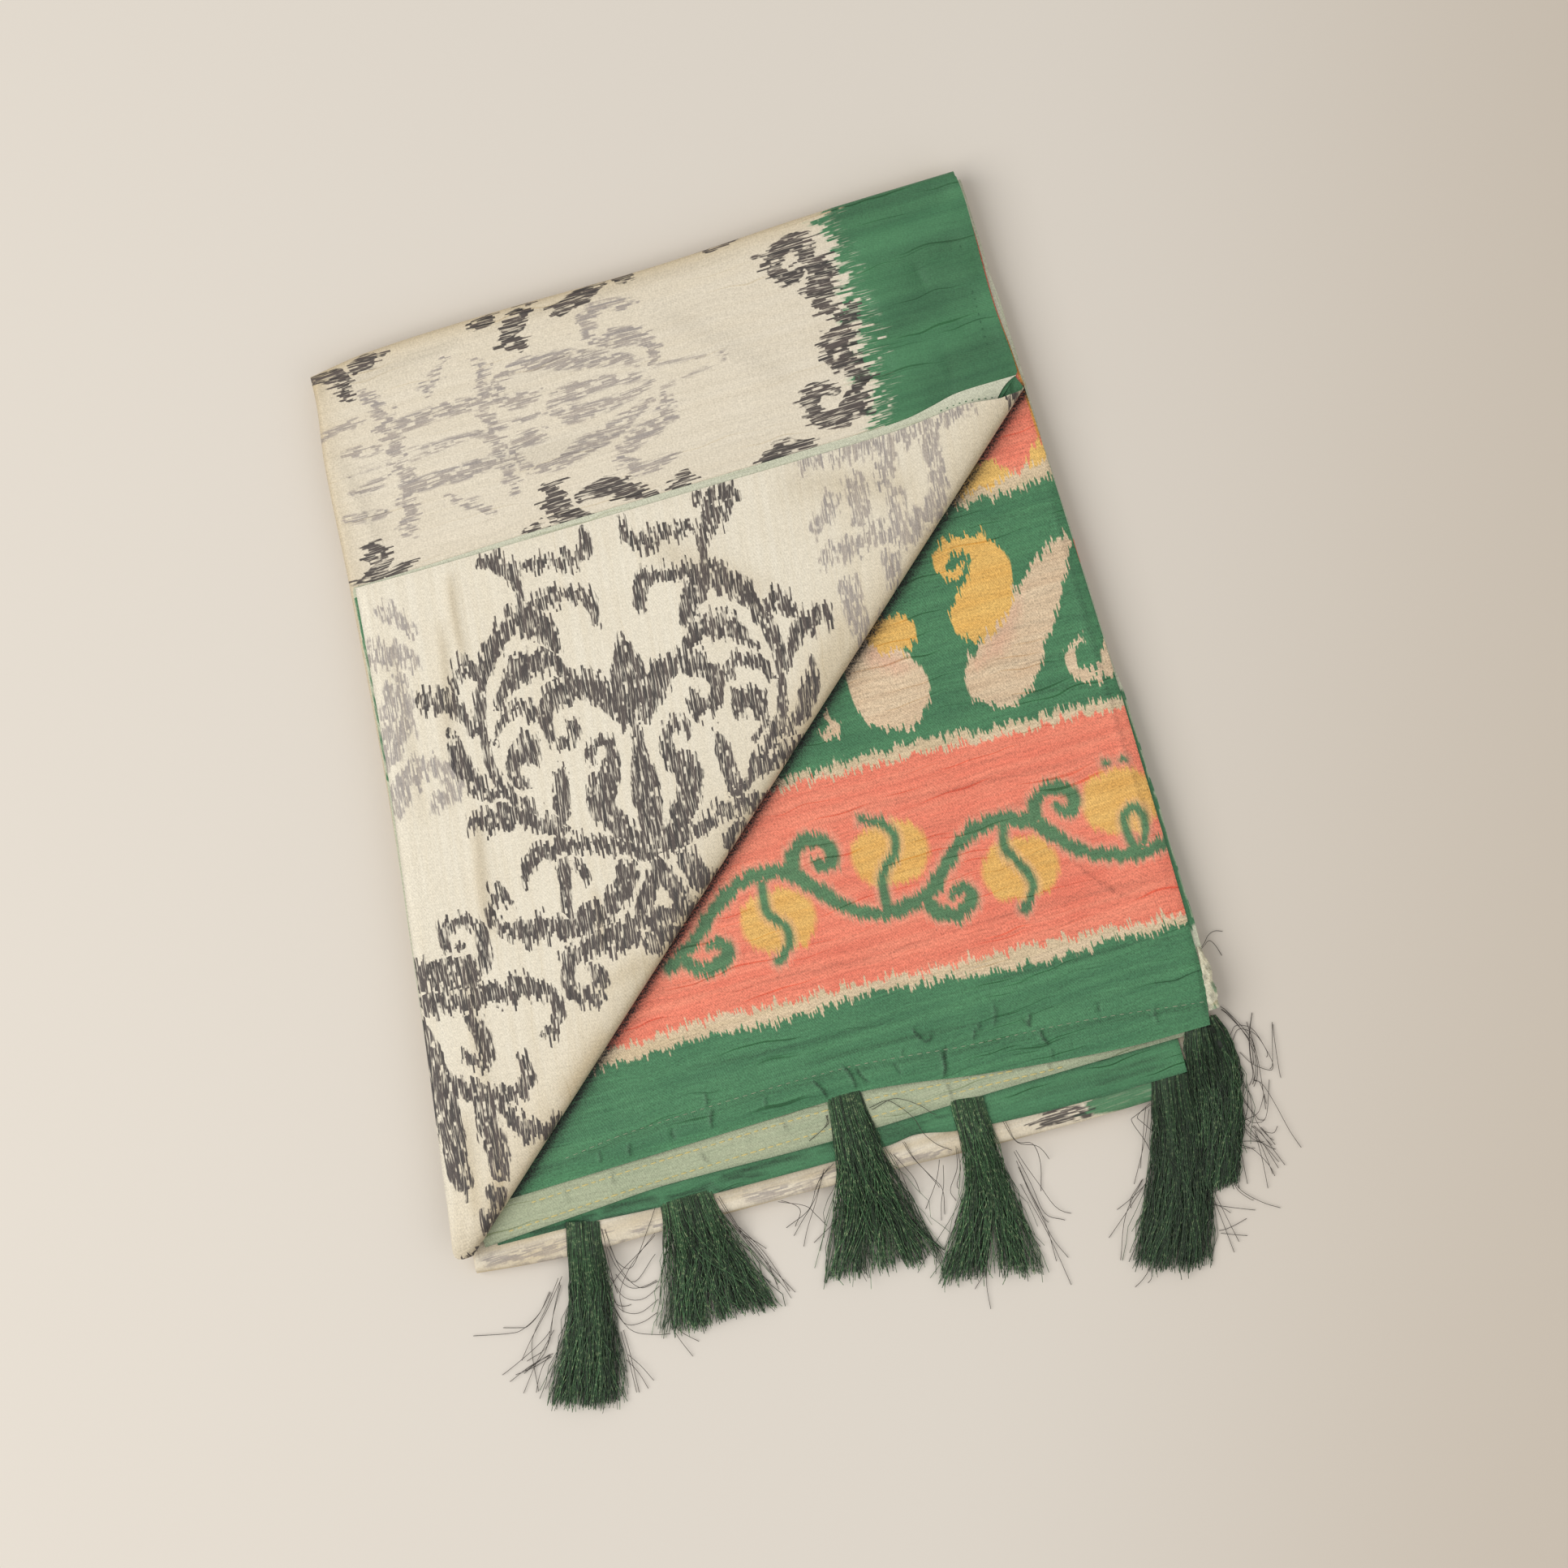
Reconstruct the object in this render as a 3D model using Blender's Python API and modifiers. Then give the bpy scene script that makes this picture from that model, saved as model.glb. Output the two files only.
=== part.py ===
"""A printed saree, folded flat, with one corner turned back over its end panel and six thread tassels.

+X runs along the hems, +Y away from the tassels and +Z up. The sizes below are millimetres on a plan whose
zero is near the middle of the fold; the finished pieces are metres, and the origin is on the underside, below
the middle of the whole.
"""

import math
from collections import namedtuple

import bmesh
import bpy

MM = 0.001

# Cloth and seams
PLY = 1.0
SEAM = 0.3
CLEARANCE = 0.8
STEP = PLY + SEAM

# Heights of the top faces, from the lowest ply to the highest
LEDGE = 8.4
LOWER_HEM_TOP = LEDGE + STEP
STACK_TOP = LOWER_HEM_TOP + STEP
PANEL_TOP = STACK_TOP + STEP
BODY_TOP = PANEL_TOP + STEP
UNDER_PLY_TOP = BODY_TOP + STEP
FLAP_TOP = UNDER_PLY_TOP + STEP

# Where the hidden ends of the two hem plies and of the side ply stop inside the stack
HEM_TUCK_Y = -148.0
SIDE_TUCK_X = 134.0
SIDE_ENDS = (-168.0, 180.5)
SIDE_NARROWS_Y = -118.0
SIDE_NARROWING = 14.0

# The body layer's bend over the top and left edges, and where the layer ends under the tip
BEND_RADIUS = 3.0
BEND_SKIRT = 2.0
BEND_SPANS = 3
BODY_TIP_Y = -168.0

Edge = namedtuple("Edge", "at value")
Level = namedtuple("Level", "z left right top bottom")
Tassel = namedtuple("Tassel", "root_x root_y root_width end_x end_y end_width bow waist")

# The whole fold from its lowest hem to its top fold, where the search for a plan point starts
PLAN_SPAN = (-190.0, 182.0)

# Outlines seen from above. Sides give x at a station y, and hems give y at a station x.
STACK_LEFT = [
    Edge(-188, -165.8), Edge(-176, -164.5), Edge(-150, -162.0), Edge(-110, -157.8),
    Edge(-60, -151.6), Edge(13, -142.6), Edge(92, -134.4), Edge(180, -125.4),
]
STACK_RIGHT = [
    Edge(-198, 117), Edge(-190, 131), Edge(-177, 143), Edge(-150, 146.6),
    Edge(-107, 147.4), Edge(60, 146.4), Edge(185, 144.2),
]
STACK_BOTTOM = [
    Edge(-166, -186.6), Edge(-131, -190.6), Edge(-60, -192.3), Edge(8, -194.5),
    Edge(75, -197.2), Edge(118, -197.4),
]
TOP_FOLD = [
    Edge(-127, 178.2), Edge(-102, 181.4), Edge(-50, 182.5), Edge(17, 181.8),
    Edge(86, 184.0), Edge(145, 184.4),
]
BODY_LEFT = [
    Edge(-178, -171.0), Edge(-151, -167.0), Edge(-110, -160.5), Edge(-60, -153.0),
    Edge(13, -143.3), Edge(92, -135.0), Edge(143, -130.6), Edge(166, -127.0), Edge(180, -126.0),
]
BODY_RIGHT = [Edge(90, 146.0), Edge(103, 146.9), Edge(130, 145.4), Edge(168, 146.2), Edge(185, 144.6)]
PANEL_RIGHT = [
    Edge(-175, 146.8), Edge(-161, 146.8), Edge(-142, 149.6), Edge(-60, 150.2), Edge(0, 149.6),
    Edge(64, 148.6), Edge(108, 147.6), Edge(182, 145.8),
]
SIDE_RIGHT = [
    Edge(-168, 152.6), Edge(-141, 152.6), Edge(-60, 151.9), Edge(0, 151.0), Edge(64, 149.9),
    Edge(108, 148.9), Edge(150, 147.7), Edge(181, 147.1),
]
PANEL_HEM = [
    Edge(-162, -161.2), Edge(-118, -160.8), Edge(-10, -159.8), Edge(5, -159.8), Edge(24, -162.0),
    Edge(50, -166.3), Edge(83, -170.3), Edge(116, -173.2), Edge(147, -173.8),
]
REVERSE_HEM = [
    Edge(-160, -177.2), Edge(-109, -174.7), Edge(-81, -173.6), Edge(-14, -175.6), Edge(64, -175.1),
    Edge(146, -175.4),
]
LOWER_HEM = [
    Edge(-160, -177.6), Edge(-112, -179.6), Edge(-84, -181.7), Edge(-40, -183.2), Edge(9, -183.9),
    Edge(21, -182.8), Edge(37, -186.0), Edge(77, -189.0), Edge(133, -189.6),
]
REVERSE_HEM_ENDS = (-158.0, 142.5)
LOWER_HEM_ENDS = (-153.0, 132.8)

# The stack's side profile, from the floor up: how far each outline is drawn in from the widest one
STACK_SPANS = 16
STACK_LEVELS = [
    Level(0.0, 2.6, 2.6, 2.6, 2.4), Level(0.8, 1.2, 1.4, 1.2, 0.8), Level(2.2, 0.5, 0.9, 0.5, 0.0),
    Level(3.6, 1.1, 1.4, 1.1, 0.6), Level(4.2, 2.3, 2.4, 2.2, 1.8), Level(4.8, 1.1, 1.2, 1.1, 0.7),
    Level(6.2, 0.6, 0.6, 0.6, 0.6), Level(7.6, 1.3, 1.1, 1.3, 2.2), Level(LEDGE, 3.0, 2.4, 3.0, 5.0),
]
UPPER_DRAW_IN = 3.0

# The turned-back corner: its rolled edge runs from the right end to the tip, and its upper edge lies level
ROLL_START = (146.4, 91.4)
ROLL_END = (-162.6, -178.2)
FLAP_EDGE = [
    Edge(-134, 91.6), Edge(-105, 90.9), Edge(0, 90.4), Edge(92, 90.3), Edge(112, 92.0),
    Edge(123, 92.8), Edge(138, 90.9), Edge(150, 90.6),
]
STRIP_EDGE = [
    Edge(-134, 92.0), Edge(-105, 92.2), Edge(0, 92.4), Edge(80, 93.0), Edge(99, 94.0),
    Edge(110, 96.0), Edge(121, 98.2), Edge(145, 98.4),
]
FLAP_LEFT_INSET = [Edge(-178, 0.3), Edge(-60, 0.6), Edge(20, 2.0), Edge(92, 3.2)]
UNDER_LEFT_INSET = [Edge(-178, 1.0), Edge(-60, 0.2), Edge(20, 0.9), Edge(92, 1.4)]
ROLL_RADIUS = [Edge(0, 3.4), Edge(60, 3.0), Edge(200, 2.7), Edge(340, 2.8), Edge(410, 3.3)]
ROLL_RISE_REACH = 16.0
ROLL_RETURN = 1.4
ROLL_FIRST = 8.0
ROW_CROWDING = 1.4
UNDER_PLY_FIRST = 14.0
UNDER_PLY_SHORT = 8.0
UNDER_PLY_STOP = 8.0
UNDER_PLY_LEAST = 2.0
BODY_STOP = 8.6
CORNER_SEARCH = (150.0, 280.0)
CORNER_STEP = 0.5
TIP_BULGE = 4.5
TIP_REACH = 26.0

# The frayed corner: half widths about its middle line, beside the panel's right edge
FRAY = [Edge(-168.2, 2.3), Edge(-160, 2.9), Edge(-150, 1.9), Edge(-142.5, 0.7)]
FRAY_THICKNESS = 1.6

TASSELS = [
    Tassel(-118.2, -180.4, 13.7, -137.6, -249.1, 34, 2.0, 18),
    Tassel(-75.1, -182.6, 22.0, -75.3, -231.5, 50, 0.0, 32),
    Tassel(-2.5, -160.4, 14.0, -9.5, -231.4, 45, 1.0, 24),
    Tassel(44.2, -176.3, 13.8, 33.0, -245.7, 42, -1.0, 20),
    Tassel(151.2, -169.2, 4.6, 132.0, -238.8, 14, 3.0, 14),
    Tassel(124.7, -190.4, 15.0, 103.3, -262.5, 27, 3.4, 19),
]
TASSEL_HEIGHT = [Edge(0.0, 2.4), Edge(0.3, 4.2), Edge(0.7, 5.0), Edge(1.0, 4.2)]
TASSEL_SECTIONS = 15
TASSEL_SIDES = 10
DRAPE_START = 5.0
DRAPE_REACH = 10.0
ROUND_OVER = 5.0
DRAPE_LOOKS = (-6, -4, -2, 0, 2, 4, 6)
SHARP_EDGE = math.radians(40)

CREAM = (0.716, 0.651, 0.521)
GREEN = (0.050, 0.212, 0.114)
CORAL = (0.823, 0.202, 0.144)
YELLOW = (0.791, 0.418, 0.074)
MINT = (0.474, 0.565, 0.408)
THREAD = (0.014, 0.060, 0.034)


def smooth(rows, at):
    """The value at a station, on a cubic through the rows, level beyond the first and last."""
    if at <= rows[0].at:
        return rows[0].value
    if at >= rows[-1].at:
        return rows[-1].value
    i = max(k for k in range(len(rows) - 1) if rows[k].at <= at)
    low, high = rows[i], rows[i + 1]
    before, after = rows[max(i - 1, 0)], rows[min(i + 2, len(rows) - 1)]
    span = high.at - low.at
    t = (at - low.at) / span
    slope_in = (high.value - before.value) / (high.at - before.at) * span
    slope_out = (after.value - low.value) / (after.at - low.at) * span
    return (
        low.value * (2 * t**3 - 3 * t**2 + 1)
        + high.value * (3 * t**2 - 2 * t**3)
        + slope_in * (t**3 - 2 * t**2 + t)
        + slope_out * (t**3 - t**2)
    )


def ease(t):
    """0 to 1, level at both ends."""
    t = min(max(t, 0.0), 1.0)
    return t * t * (3 - 2 * t)


def blend(a, b, t):
    return a + (b - a) * t


def plan_point(u, v, left, right, bottom, top):
    """The plan point a share u across and v up a panel, whose four edges are functions of y, y, x and x."""
    x, y = 0.0, blend(*PLAN_SPAN, v)
    for _ in range(6):
        x = blend(left(y), right(y), u)
        y = blend(bottom(x), top(x), v)
    return x, y


def material(name, colour, roughness):
    found = bpy.data.materials.get(name)
    if found:
        return found
    made = bpy.data.materials.new(name)
    made.use_nodes = True
    shader = made.node_tree.nodes["Principled BSDF"]
    shader.inputs["Base Color"].default_value = (*colour, 1.0)
    shader.inputs["Roughness"].default_value = roughness
    shader.inputs["Metallic"].default_value = 0.0
    made.diffuse_color = (*colour, 1.0)
    return made


def keep(name, bm, finish):
    """Makes a named object of a bmesh whose points are in millimetres."""
    bmesh.ops.scale(bm, vec=(MM, MM, MM), verts=bm.verts)
    mesh = bpy.data.meshes.new(name)
    bm.to_mesh(mesh)
    bm.free()
    mesh.shade_smooth()
    mesh.set_sharp_from_angle(angle=SHARP_EDGE)
    mesh.materials.append(finish)
    obj = bpy.data.objects.new(name, mesh)
    PARTS.objects.link(obj)
    return obj


def sheet(name, columns, rows, place, finish, thickness=PLY):
    """A ply: an open grid laid on its top face by place(column, row), given its thickness downwards."""
    bm = bmesh.new()
    bmesh.ops.create_grid(bm, x_segments=columns, y_segments=rows, size=0.5)
    for vert in bm.verts:
        column = round((vert.co.x + 0.5) * columns)
        row = round((vert.co.y + 0.5) * rows)
        vert.co = place(column, row)
    obj = keep(name, bm, finish)
    wall = obj.modifiers.new("thickness", "SOLIDIFY")
    wall.thickness = thickness * MM
    wall.offset = -1.0
    wall.use_even_offset = True
    return obj


def loft(name, loops, finish):
    """A closed solid through loops of equally many points, capped at its first and last."""
    bm = bmesh.new()
    rings = [[bm.verts.new(point) for point in loop] for loop in loops]
    count = len(rings[0])
    for lower, upper in zip(rings, rings[1:]):
        for k in range(count):
            after = (k + 1) % count
            bm.faces.new((lower[k], lower[after], upper[after], upper[k]))
    bm.faces.new(rings[0][::-1])
    bm.faces.new(rings[-1])
    bmesh.ops.recalc_face_normals(bm, faces=bm.faces)
    return keep(name, bm, finish)


def stack_outline(z, left, right, top, bottom):
    """One level outline of the stack, anticlockwise: three edges drawn in, the last given as a function."""
    sides = dict(
        left=lambda y: smooth(STACK_LEFT, y) + left,
        right=lambda y: smooth(STACK_RIGHT, y) - right,
        top=lambda x: smooth(TOP_FOLD, x) - top,
        bottom=bottom,
    )
    shares = [k / STACK_SPANS for k in range(STACK_SPANS)]
    ring = [(share, 0.0) for share in shares]
    ring += [(1.0, share) for share in shares]
    ring += [(1.0 - share, 1.0) for share in shares]
    ring += [(0.0, 1.0 - share) for share in shares]
    return [(*plan_point(u, v, **sides), z) for u, v in ring]


def folded_stack():
    """The hidden layers: two folded packets, a ledge for the hem plies and a raised middle."""
    loops = []
    for level in STACK_LEVELS:
        foot = level.bottom
        loops.append(
            stack_outline(level.z, level.left, level.right, level.top,
                          lambda x, foot=foot: smooth(STACK_BOTTOM, x) + foot)
        )
    tucked = lambda x: HEM_TUCK_Y + SEAM
    inner = UPPER_DRAW_IN
    beside_ply = smooth(STACK_RIGHT, 0) - SIDE_TUCK_X + SEAM
    loops.append(stack_outline(LEDGE, inner, inner, inner, tucked))
    loops.append(stack_outline(LOWER_HEM_TOP, inner, inner, inner, tucked))
    loops.append(stack_outline(LOWER_HEM_TOP, inner, beside_ply, inner, tucked))
    loops.append(stack_outline(STACK_TOP, inner, beside_ply, inner, tucked))
    loft("folded_stack", loops, material("stack_cloth", CREAM, 0.55))


def side_ply():
    """The ply whose edge shows along the right side, from near the top fold to the frayed corner."""
    columns, rows = 2, 24
    beside_hem = REVERSE_HEM_ENDS[1] + CLEARANCE

    def place(column, row):
        y = blend(*SIDE_ENDS, row / rows)
        inner = blend(SIDE_TUCK_X + SEAM, beside_hem, ease((SIDE_NARROWS_Y - y) / SIDE_NARROWING))
        x = blend(inner, smooth(SIDE_RIGHT, y), column / columns)
        return x, y, STACK_TOP

    sheet("side_ply", columns, rows, place, material("side_cloth", YELLOW, 0.5))


def pallu_panel():
    """The end panel with its upper hem, one full ply over the stack."""
    columns, rows = 20, 22
    sides = dict(
        left=lambda y: smooth(STACK_LEFT, y) + UPPER_DRAW_IN,
        right=lambda y: smooth(PANEL_RIGHT, y),
        bottom=lambda x: smooth(PANEL_HEM, x),
        top=lambda x: smooth(TOP_FOLD, x) - UPPER_DRAW_IN,
    )

    def place(column, row):
        return *plan_point(column / columns, row / rows, **sides), PANEL_TOP

    sheet("pallu_panel", columns, rows, place, material("panel_cloth", CORAL, 0.5))


def hem_ply(name, hem, ends, top_face, finish):
    """A hem ply, from its own edge to where it is tucked into the stack."""
    columns, rows = 30, 2

    def place(column, row):
        x = blend(*ends, column / columns)
        return x, blend(smooth(hem, x), HEM_TUCK_Y, row / rows), top_face

    sheet(name, columns, rows, place, finish)


def frayed_selvedge():
    """The pale frayed corner beside the upper hem, a lens that lies on the side ply."""
    low, high = FRAY[0].at, FRAY[-1].at
    loops = []
    sections, sides = 7, 8
    for k in range(sections):
        y = blend(low, high, k / (sections - 1))
        half = smooth(FRAY, y)
        middle = smooth(PANEL_RIGHT, y) + CLEARANCE + half
        ring = []
        for i in range(sides):
            turn = 2 * math.pi * i / sides
            lift = FRAY_THICKNESS / 2 * (1 + math.sin(turn))
            ring.append((middle + half * math.cos(turn), y, STACK_TOP + SEAM + lift))
        loops.append(ring)
    loft("frayed_selvedge", loops, material("selvedge_cloth", MINT, 0.7))


def bend(run):
    """How far in and how far down a ply is, a run from the free end of its skirt over the bend."""
    arc = BEND_RADIUS * math.pi / 2
    if run < BEND_SKIRT:
        return 0.0, BEND_RADIUS + BEND_SKIRT - run
    if run < BEND_SKIRT + arc:
        turn = (run - BEND_SKIRT) / BEND_RADIUS
        return BEND_RADIUS * (1 - math.cos(turn)), BEND_RADIUS * (1 - math.sin(turn))
    return BEND_RADIUS + run - BEND_SKIRT - arc, 0.0


def roll_line(station):
    """The plan point a length along the rolled edge, with the unit steps along it and inwards."""
    span = math.dist(ROLL_START, ROLL_END)
    along = ((ROLL_END[0] - ROLL_START[0]) / span, (ROLL_END[1] - ROLL_START[1]) / span)
    inward = (along[1], -along[0])
    point = (ROLL_START[0] + along[0] * station, ROLL_START[1] + along[1] * station)
    return point, along, inward


def roll_x(y):
    """x of the rolled edge at y."""
    slope = (ROLL_END[0] - ROLL_START[0]) / (ROLL_END[1] - ROLL_START[1])
    return ROLL_START[0] + (y - ROLL_START[1]) * slope


def body_layer():
    """The body ply: over the top and left edges, to its right selvedge and, under the flap, to the roll."""
    arc = BEND_RADIUS * math.pi / 2
    bends = [0.0] + [BEND_SKIRT + arc * k / BEND_SPANS for k in range(BEND_SPANS + 1)]
    flat_columns, flat_rows = 16, 22
    columns, rows = len(bends) - 1 + flat_columns, len(bends) - 1 + flat_rows

    def right(y):
        return min(smooth(BODY_RIGHT, y), roll_x(y) - BODY_STOP)

    def place(column, row):
        from_top = rows - row
        if from_top < len(bends):
            y_in, y_down = bend(bends[from_top])
        else:
            length = smooth(TOP_FOLD, 0) - BEND_RADIUS - BODY_TIP_Y
            y_in, y_down = BEND_RADIUS + length * (from_top - len(bends) + 1) / flat_rows, 0.0
        x = 0.0
        for _ in range(5):
            y = smooth(TOP_FOLD, x) - y_in
            if column < len(bends):
                x_in, x_down = bend(bends[column])
                x = smooth(BODY_LEFT, y) + x_in
            else:
                share = (column - len(bends) + 1) / flat_columns
                x_down = 0.0
                x = blend(smooth(BODY_LEFT, y) + BEND_RADIUS, right(y), share)
        return x, y, BODY_TOP - max(x_down, y_down)

    sheet("body_layer", columns, rows, place, material("body_cloth", CREAM, 0.5))


def flap_reach(station, edge, inset):
    """How far a ply of the corner reaches inwards from the rolled edge, at a station along it."""
    point, _, inward = roll_line(station)
    to_edge = to_left = 0.0
    for _ in range(8):
        to_edge = (smooth(edge, point[0] + inward[0] * to_edge) - point[1]) / inward[1]
        y = point[1] + inward[1] * to_left
        to_left = (smooth(BODY_LEFT, y) + smooth(inset, y) - point[0]) / inward[0]
    return min(to_edge, to_left)


def corner_station(edge, inset):
    """The station whose column runs into the flap's left corner, where its reach is longest."""
    first, last = CORNER_SEARCH
    stations = [first + k * CORNER_STEP for k in range(int((last - first) / CORNER_STEP))]
    return max(stations, key=lambda station: flap_reach(station, edge, inset))


def flap_stations(first, last, edge, inset, columns):
    """Stations for the columns of a corner ply, one of them through its left corner."""
    corner = corner_station(edge, inset)
    half = columns // 2
    right_part = [blend(first, corner, k / half) for k in range(half)]
    return right_part + [blend(corner, last, k / (columns - half)) for k in range(columns - half + 1)]


def tip_shift(station, last, share):
    """How far the rounded tip stands out along the rolled edge."""
    onset = ease((station - last + TIP_REACH) / TIP_REACH)
    return TIP_BULGE * onset * math.sin(math.pi * min(max(share, 0), 1))


def flap_under_ply():
    """The corner's lower ply: its pale strip shows above the flap, its green edge at the left."""
    columns, rows = 26, 6
    last = math.dist(ROLL_START, ROLL_END) - UNDER_PLY_SHORT
    stations = flap_stations(UNDER_PLY_FIRST, last, STRIP_EDGE, UNDER_LEFT_INSET, columns)

    def place(column, row):
        station = stations[column]
        reach = flap_reach(station, STRIP_EDGE, UNDER_LEFT_INSET)
        point, _, inward = roll_line(station)
        across = blend(max(reach, UNDER_PLY_STOP + UNDER_PLY_LEAST), UNDER_PLY_STOP, row / rows)
        return point[0] + inward[0] * across, point[1] + inward[1] * across, UNDER_PLY_TOP

    sheet("flap_under_ply", columns, rows, place, material("reverse_cloth", MINT, 0.55))


def turned_back_flap():
    """The corner's upper ply, lying level, rising to the soft roll and coming round under it."""
    columns, flat_rows, arc_rows = 28, 9, 7
    rows = flat_rows + arc_rows + 1
    last = math.dist(ROLL_START, ROLL_END)
    stations = flap_stations(ROLL_FIRST, last, FLAP_EDGE, FLAP_LEFT_INSET, columns)

    def place(column, row):
        station = stations[column]
        radius = smooth(ROLL_RADIUS, station)
        point, along, inward = roll_line(station)
        reach = flap_reach(station, FLAP_EDGE, FLAP_LEFT_INSET)
        low = BODY_TOP - PLY
        high = low + 2 * radius
        if row <= flat_rows:
            share = 1 - row / flat_rows
            across = blend(radius, reach, share**ROW_CROWDING)
            z = blend(FLAP_TOP, high, ease(1 - (across - radius) / ROLL_RISE_REACH))
        elif row <= flat_rows + arc_rows:
            turn = math.pi * (row - flat_rows) / arc_rows
            across = radius * (1 - math.sin(turn))
            z = low + radius * (1 + math.cos(turn))
        else:
            across = radius + ROLL_RETURN
            z = low
        out = tip_shift(station, last, across / reach)
        return (
            point[0] + inward[0] * across + along[0] * out,
            point[1] + inward[1] * across + along[1] * out,
            z,
        )

    sheet("turned_back_flap", columns, rows, place, material("flap_cloth", CREAM, 0.45))


def rest_height(x, y):
    """The height of what lies under a plan point: a ply, the stack's rounded edge or the surface below."""
    inside = min(
        x - smooth(STACK_LEFT, y), smooth(STACK_RIGHT, y) - x,
        y - smooth(STACK_BOTTOM, x), smooth(TOP_FOLD, x) - y,
    )
    if y > smooth(PANEL_HEM, x) and x < smooth(PANEL_RIGHT, y):
        return PANEL_TOP
    if y > smooth(REVERSE_HEM, x) and x < REVERSE_HEM_ENDS[1]:
        return STACK_TOP
    if y > smooth(LOWER_HEM, x) and LOWER_HEM_ENDS[0] < x < LOWER_HEM_ENDS[1]:
        return LOWER_HEM_TOP
    if y > SIDE_ENDS[0] and SIDE_TUCK_X < x < smooth(SIDE_RIGHT, y):
        return STACK_TOP
    if inside > ROUND_OVER:
        return LEDGE
    if inside > 0:
        return DRAPE_START + (LEDGE - DRAPE_START) * math.sqrt(1 - (1 - inside / ROUND_OVER) ** 2)
    return DRAPE_START * (1 - ease(-inside / DRAPE_REACH))


def tassel(name, size):
    """The plain solid that a tassel's threads fill, narrow at the hem and fanned at its cut end."""
    length = math.dist((size.root_x, size.root_y), (size.end_x, size.end_y))
    ahead = ((size.end_x - size.root_x) / length, (size.end_y - size.root_y) / length)
    aside = (-ahead[1], ahead[0])
    widths = [Edge(0.0, size.root_width), Edge(0.45, size.waist), Edge(1.0, size.end_width)]

    def spot(share, offset):
        bowed = offset + size.bow * math.sin(math.pi * share)
        x = blend(size.root_x, size.end_x, share) + aside[0] * bowed
        y = blend(size.root_y, size.end_y, share) + aside[1] * bowed
        return x, y

    def underside(share):
        """The highest thing below a section and a little way before and after it."""
        half = smooth(widths, share) / 2
        near = [
            rest_height(*spot(max(share + step / length, 0), half * k / 3))
            for step in DRAPE_LOOKS
            for k in (-3, -2, -1, 0, 1, 2, 3)
        ]
        return max(near)

    loops = []
    for k in range(TASSEL_SECTIONS):
        share = k / (TASSEL_SECTIONS - 1)
        half = smooth(widths, share) / 2
        tall = smooth(TASSEL_HEIGHT, share)
        floor = underside(share)
        floor += SEAM if floor > SEAM else 0.0
        ring = []
        for i in range(TASSEL_SIDES):
            turn = 2 * math.pi * (i + 0.5) / TASSEL_SIDES
            level = tall / 2 * (1 + math.sin(turn) / math.cos(math.pi / 2 / TASSEL_SIDES))
            ring.append((*spot(share, half * math.cos(turn)), floor + min(max(level, 0), tall)))
        loops.append(ring)
    loft(name, loops, material("thread", THREAD, 0.6))


def stand_on_origin():
    """Moves the pieces together, so that the origin lies under the middle of the whole."""
    bpy.context.view_layer.update()
    graph = bpy.context.evaluated_depsgraph_get()
    corners = []
    for obj in PARTS.objects:
        corners += [vert.co.copy() for vert in obj.evaluated_get(graph).data.vertices]
    lowest = [min(corner[k] for corner in corners) for k in range(3)]
    highest = [max(corner[k] for corner in corners) for k in range(3)]
    middle_x, middle_y = (lowest[0] + highest[0]) / 2, (lowest[1] + highest[1]) / 2
    for obj in PARTS.objects:
        obj.location = (-middle_x, -middle_y, -lowest[2])


for old in list(bpy.data.objects):
    bpy.data.objects.remove(old, do_unlink=True)
PARTS = bpy.data.collections.new("folded_saree")
bpy.context.scene.collection.children.link(PARTS)

folded_stack()
side_ply()
hem_ply("hem_lower_ply", LOWER_HEM, LOWER_HEM_ENDS, LOWER_HEM_TOP, material("hem_cloth", GREEN, 0.5))
hem_ply("hem_reverse_ply", REVERSE_HEM, REVERSE_HEM_ENDS, STACK_TOP, material("reverse_cloth", MINT, 0.55))
pallu_panel()
frayed_selvedge()
body_layer()
flap_under_ply()
turned_back_flap()
for number, size in enumerate(TASSELS, start=1):
    tassel(f"tassel_{number}", size)
stand_on_origin()
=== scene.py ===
"""A printed satin saree, folded flat, with one corner turned back over its end panel and six thread tassels.

Lengths are millimetres on a plan whose zero is near the middle of the fold, unless a name says metres.
+X runs along the hems, +Y away from the tassels and +Z up.
"""
import logging
import math
from dataclasses import dataclass, field
from enum import Enum
from typing import Any, Callable, ClassVar, NamedTuple, Sequence

import bpy
import numpy as np
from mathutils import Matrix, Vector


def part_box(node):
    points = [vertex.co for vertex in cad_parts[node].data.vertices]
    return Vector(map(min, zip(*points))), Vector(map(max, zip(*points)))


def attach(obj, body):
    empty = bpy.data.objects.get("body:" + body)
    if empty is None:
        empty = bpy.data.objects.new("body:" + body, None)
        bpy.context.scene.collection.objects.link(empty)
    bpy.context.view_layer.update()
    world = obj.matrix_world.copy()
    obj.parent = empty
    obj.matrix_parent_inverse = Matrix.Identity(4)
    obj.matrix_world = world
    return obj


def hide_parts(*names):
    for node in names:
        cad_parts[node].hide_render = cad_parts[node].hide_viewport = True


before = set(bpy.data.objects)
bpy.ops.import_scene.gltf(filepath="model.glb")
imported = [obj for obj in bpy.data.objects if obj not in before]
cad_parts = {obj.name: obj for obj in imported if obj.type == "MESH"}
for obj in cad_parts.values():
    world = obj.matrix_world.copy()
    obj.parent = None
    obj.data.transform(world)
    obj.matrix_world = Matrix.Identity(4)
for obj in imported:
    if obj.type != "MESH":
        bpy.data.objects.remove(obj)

Array = np.ndarray
Colour = tuple[float, float, float]
Point = tuple[float, float]
Stroke = tuple[tuple[float, float, float], ...]
Faces = list[tuple[int, ...]]
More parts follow.
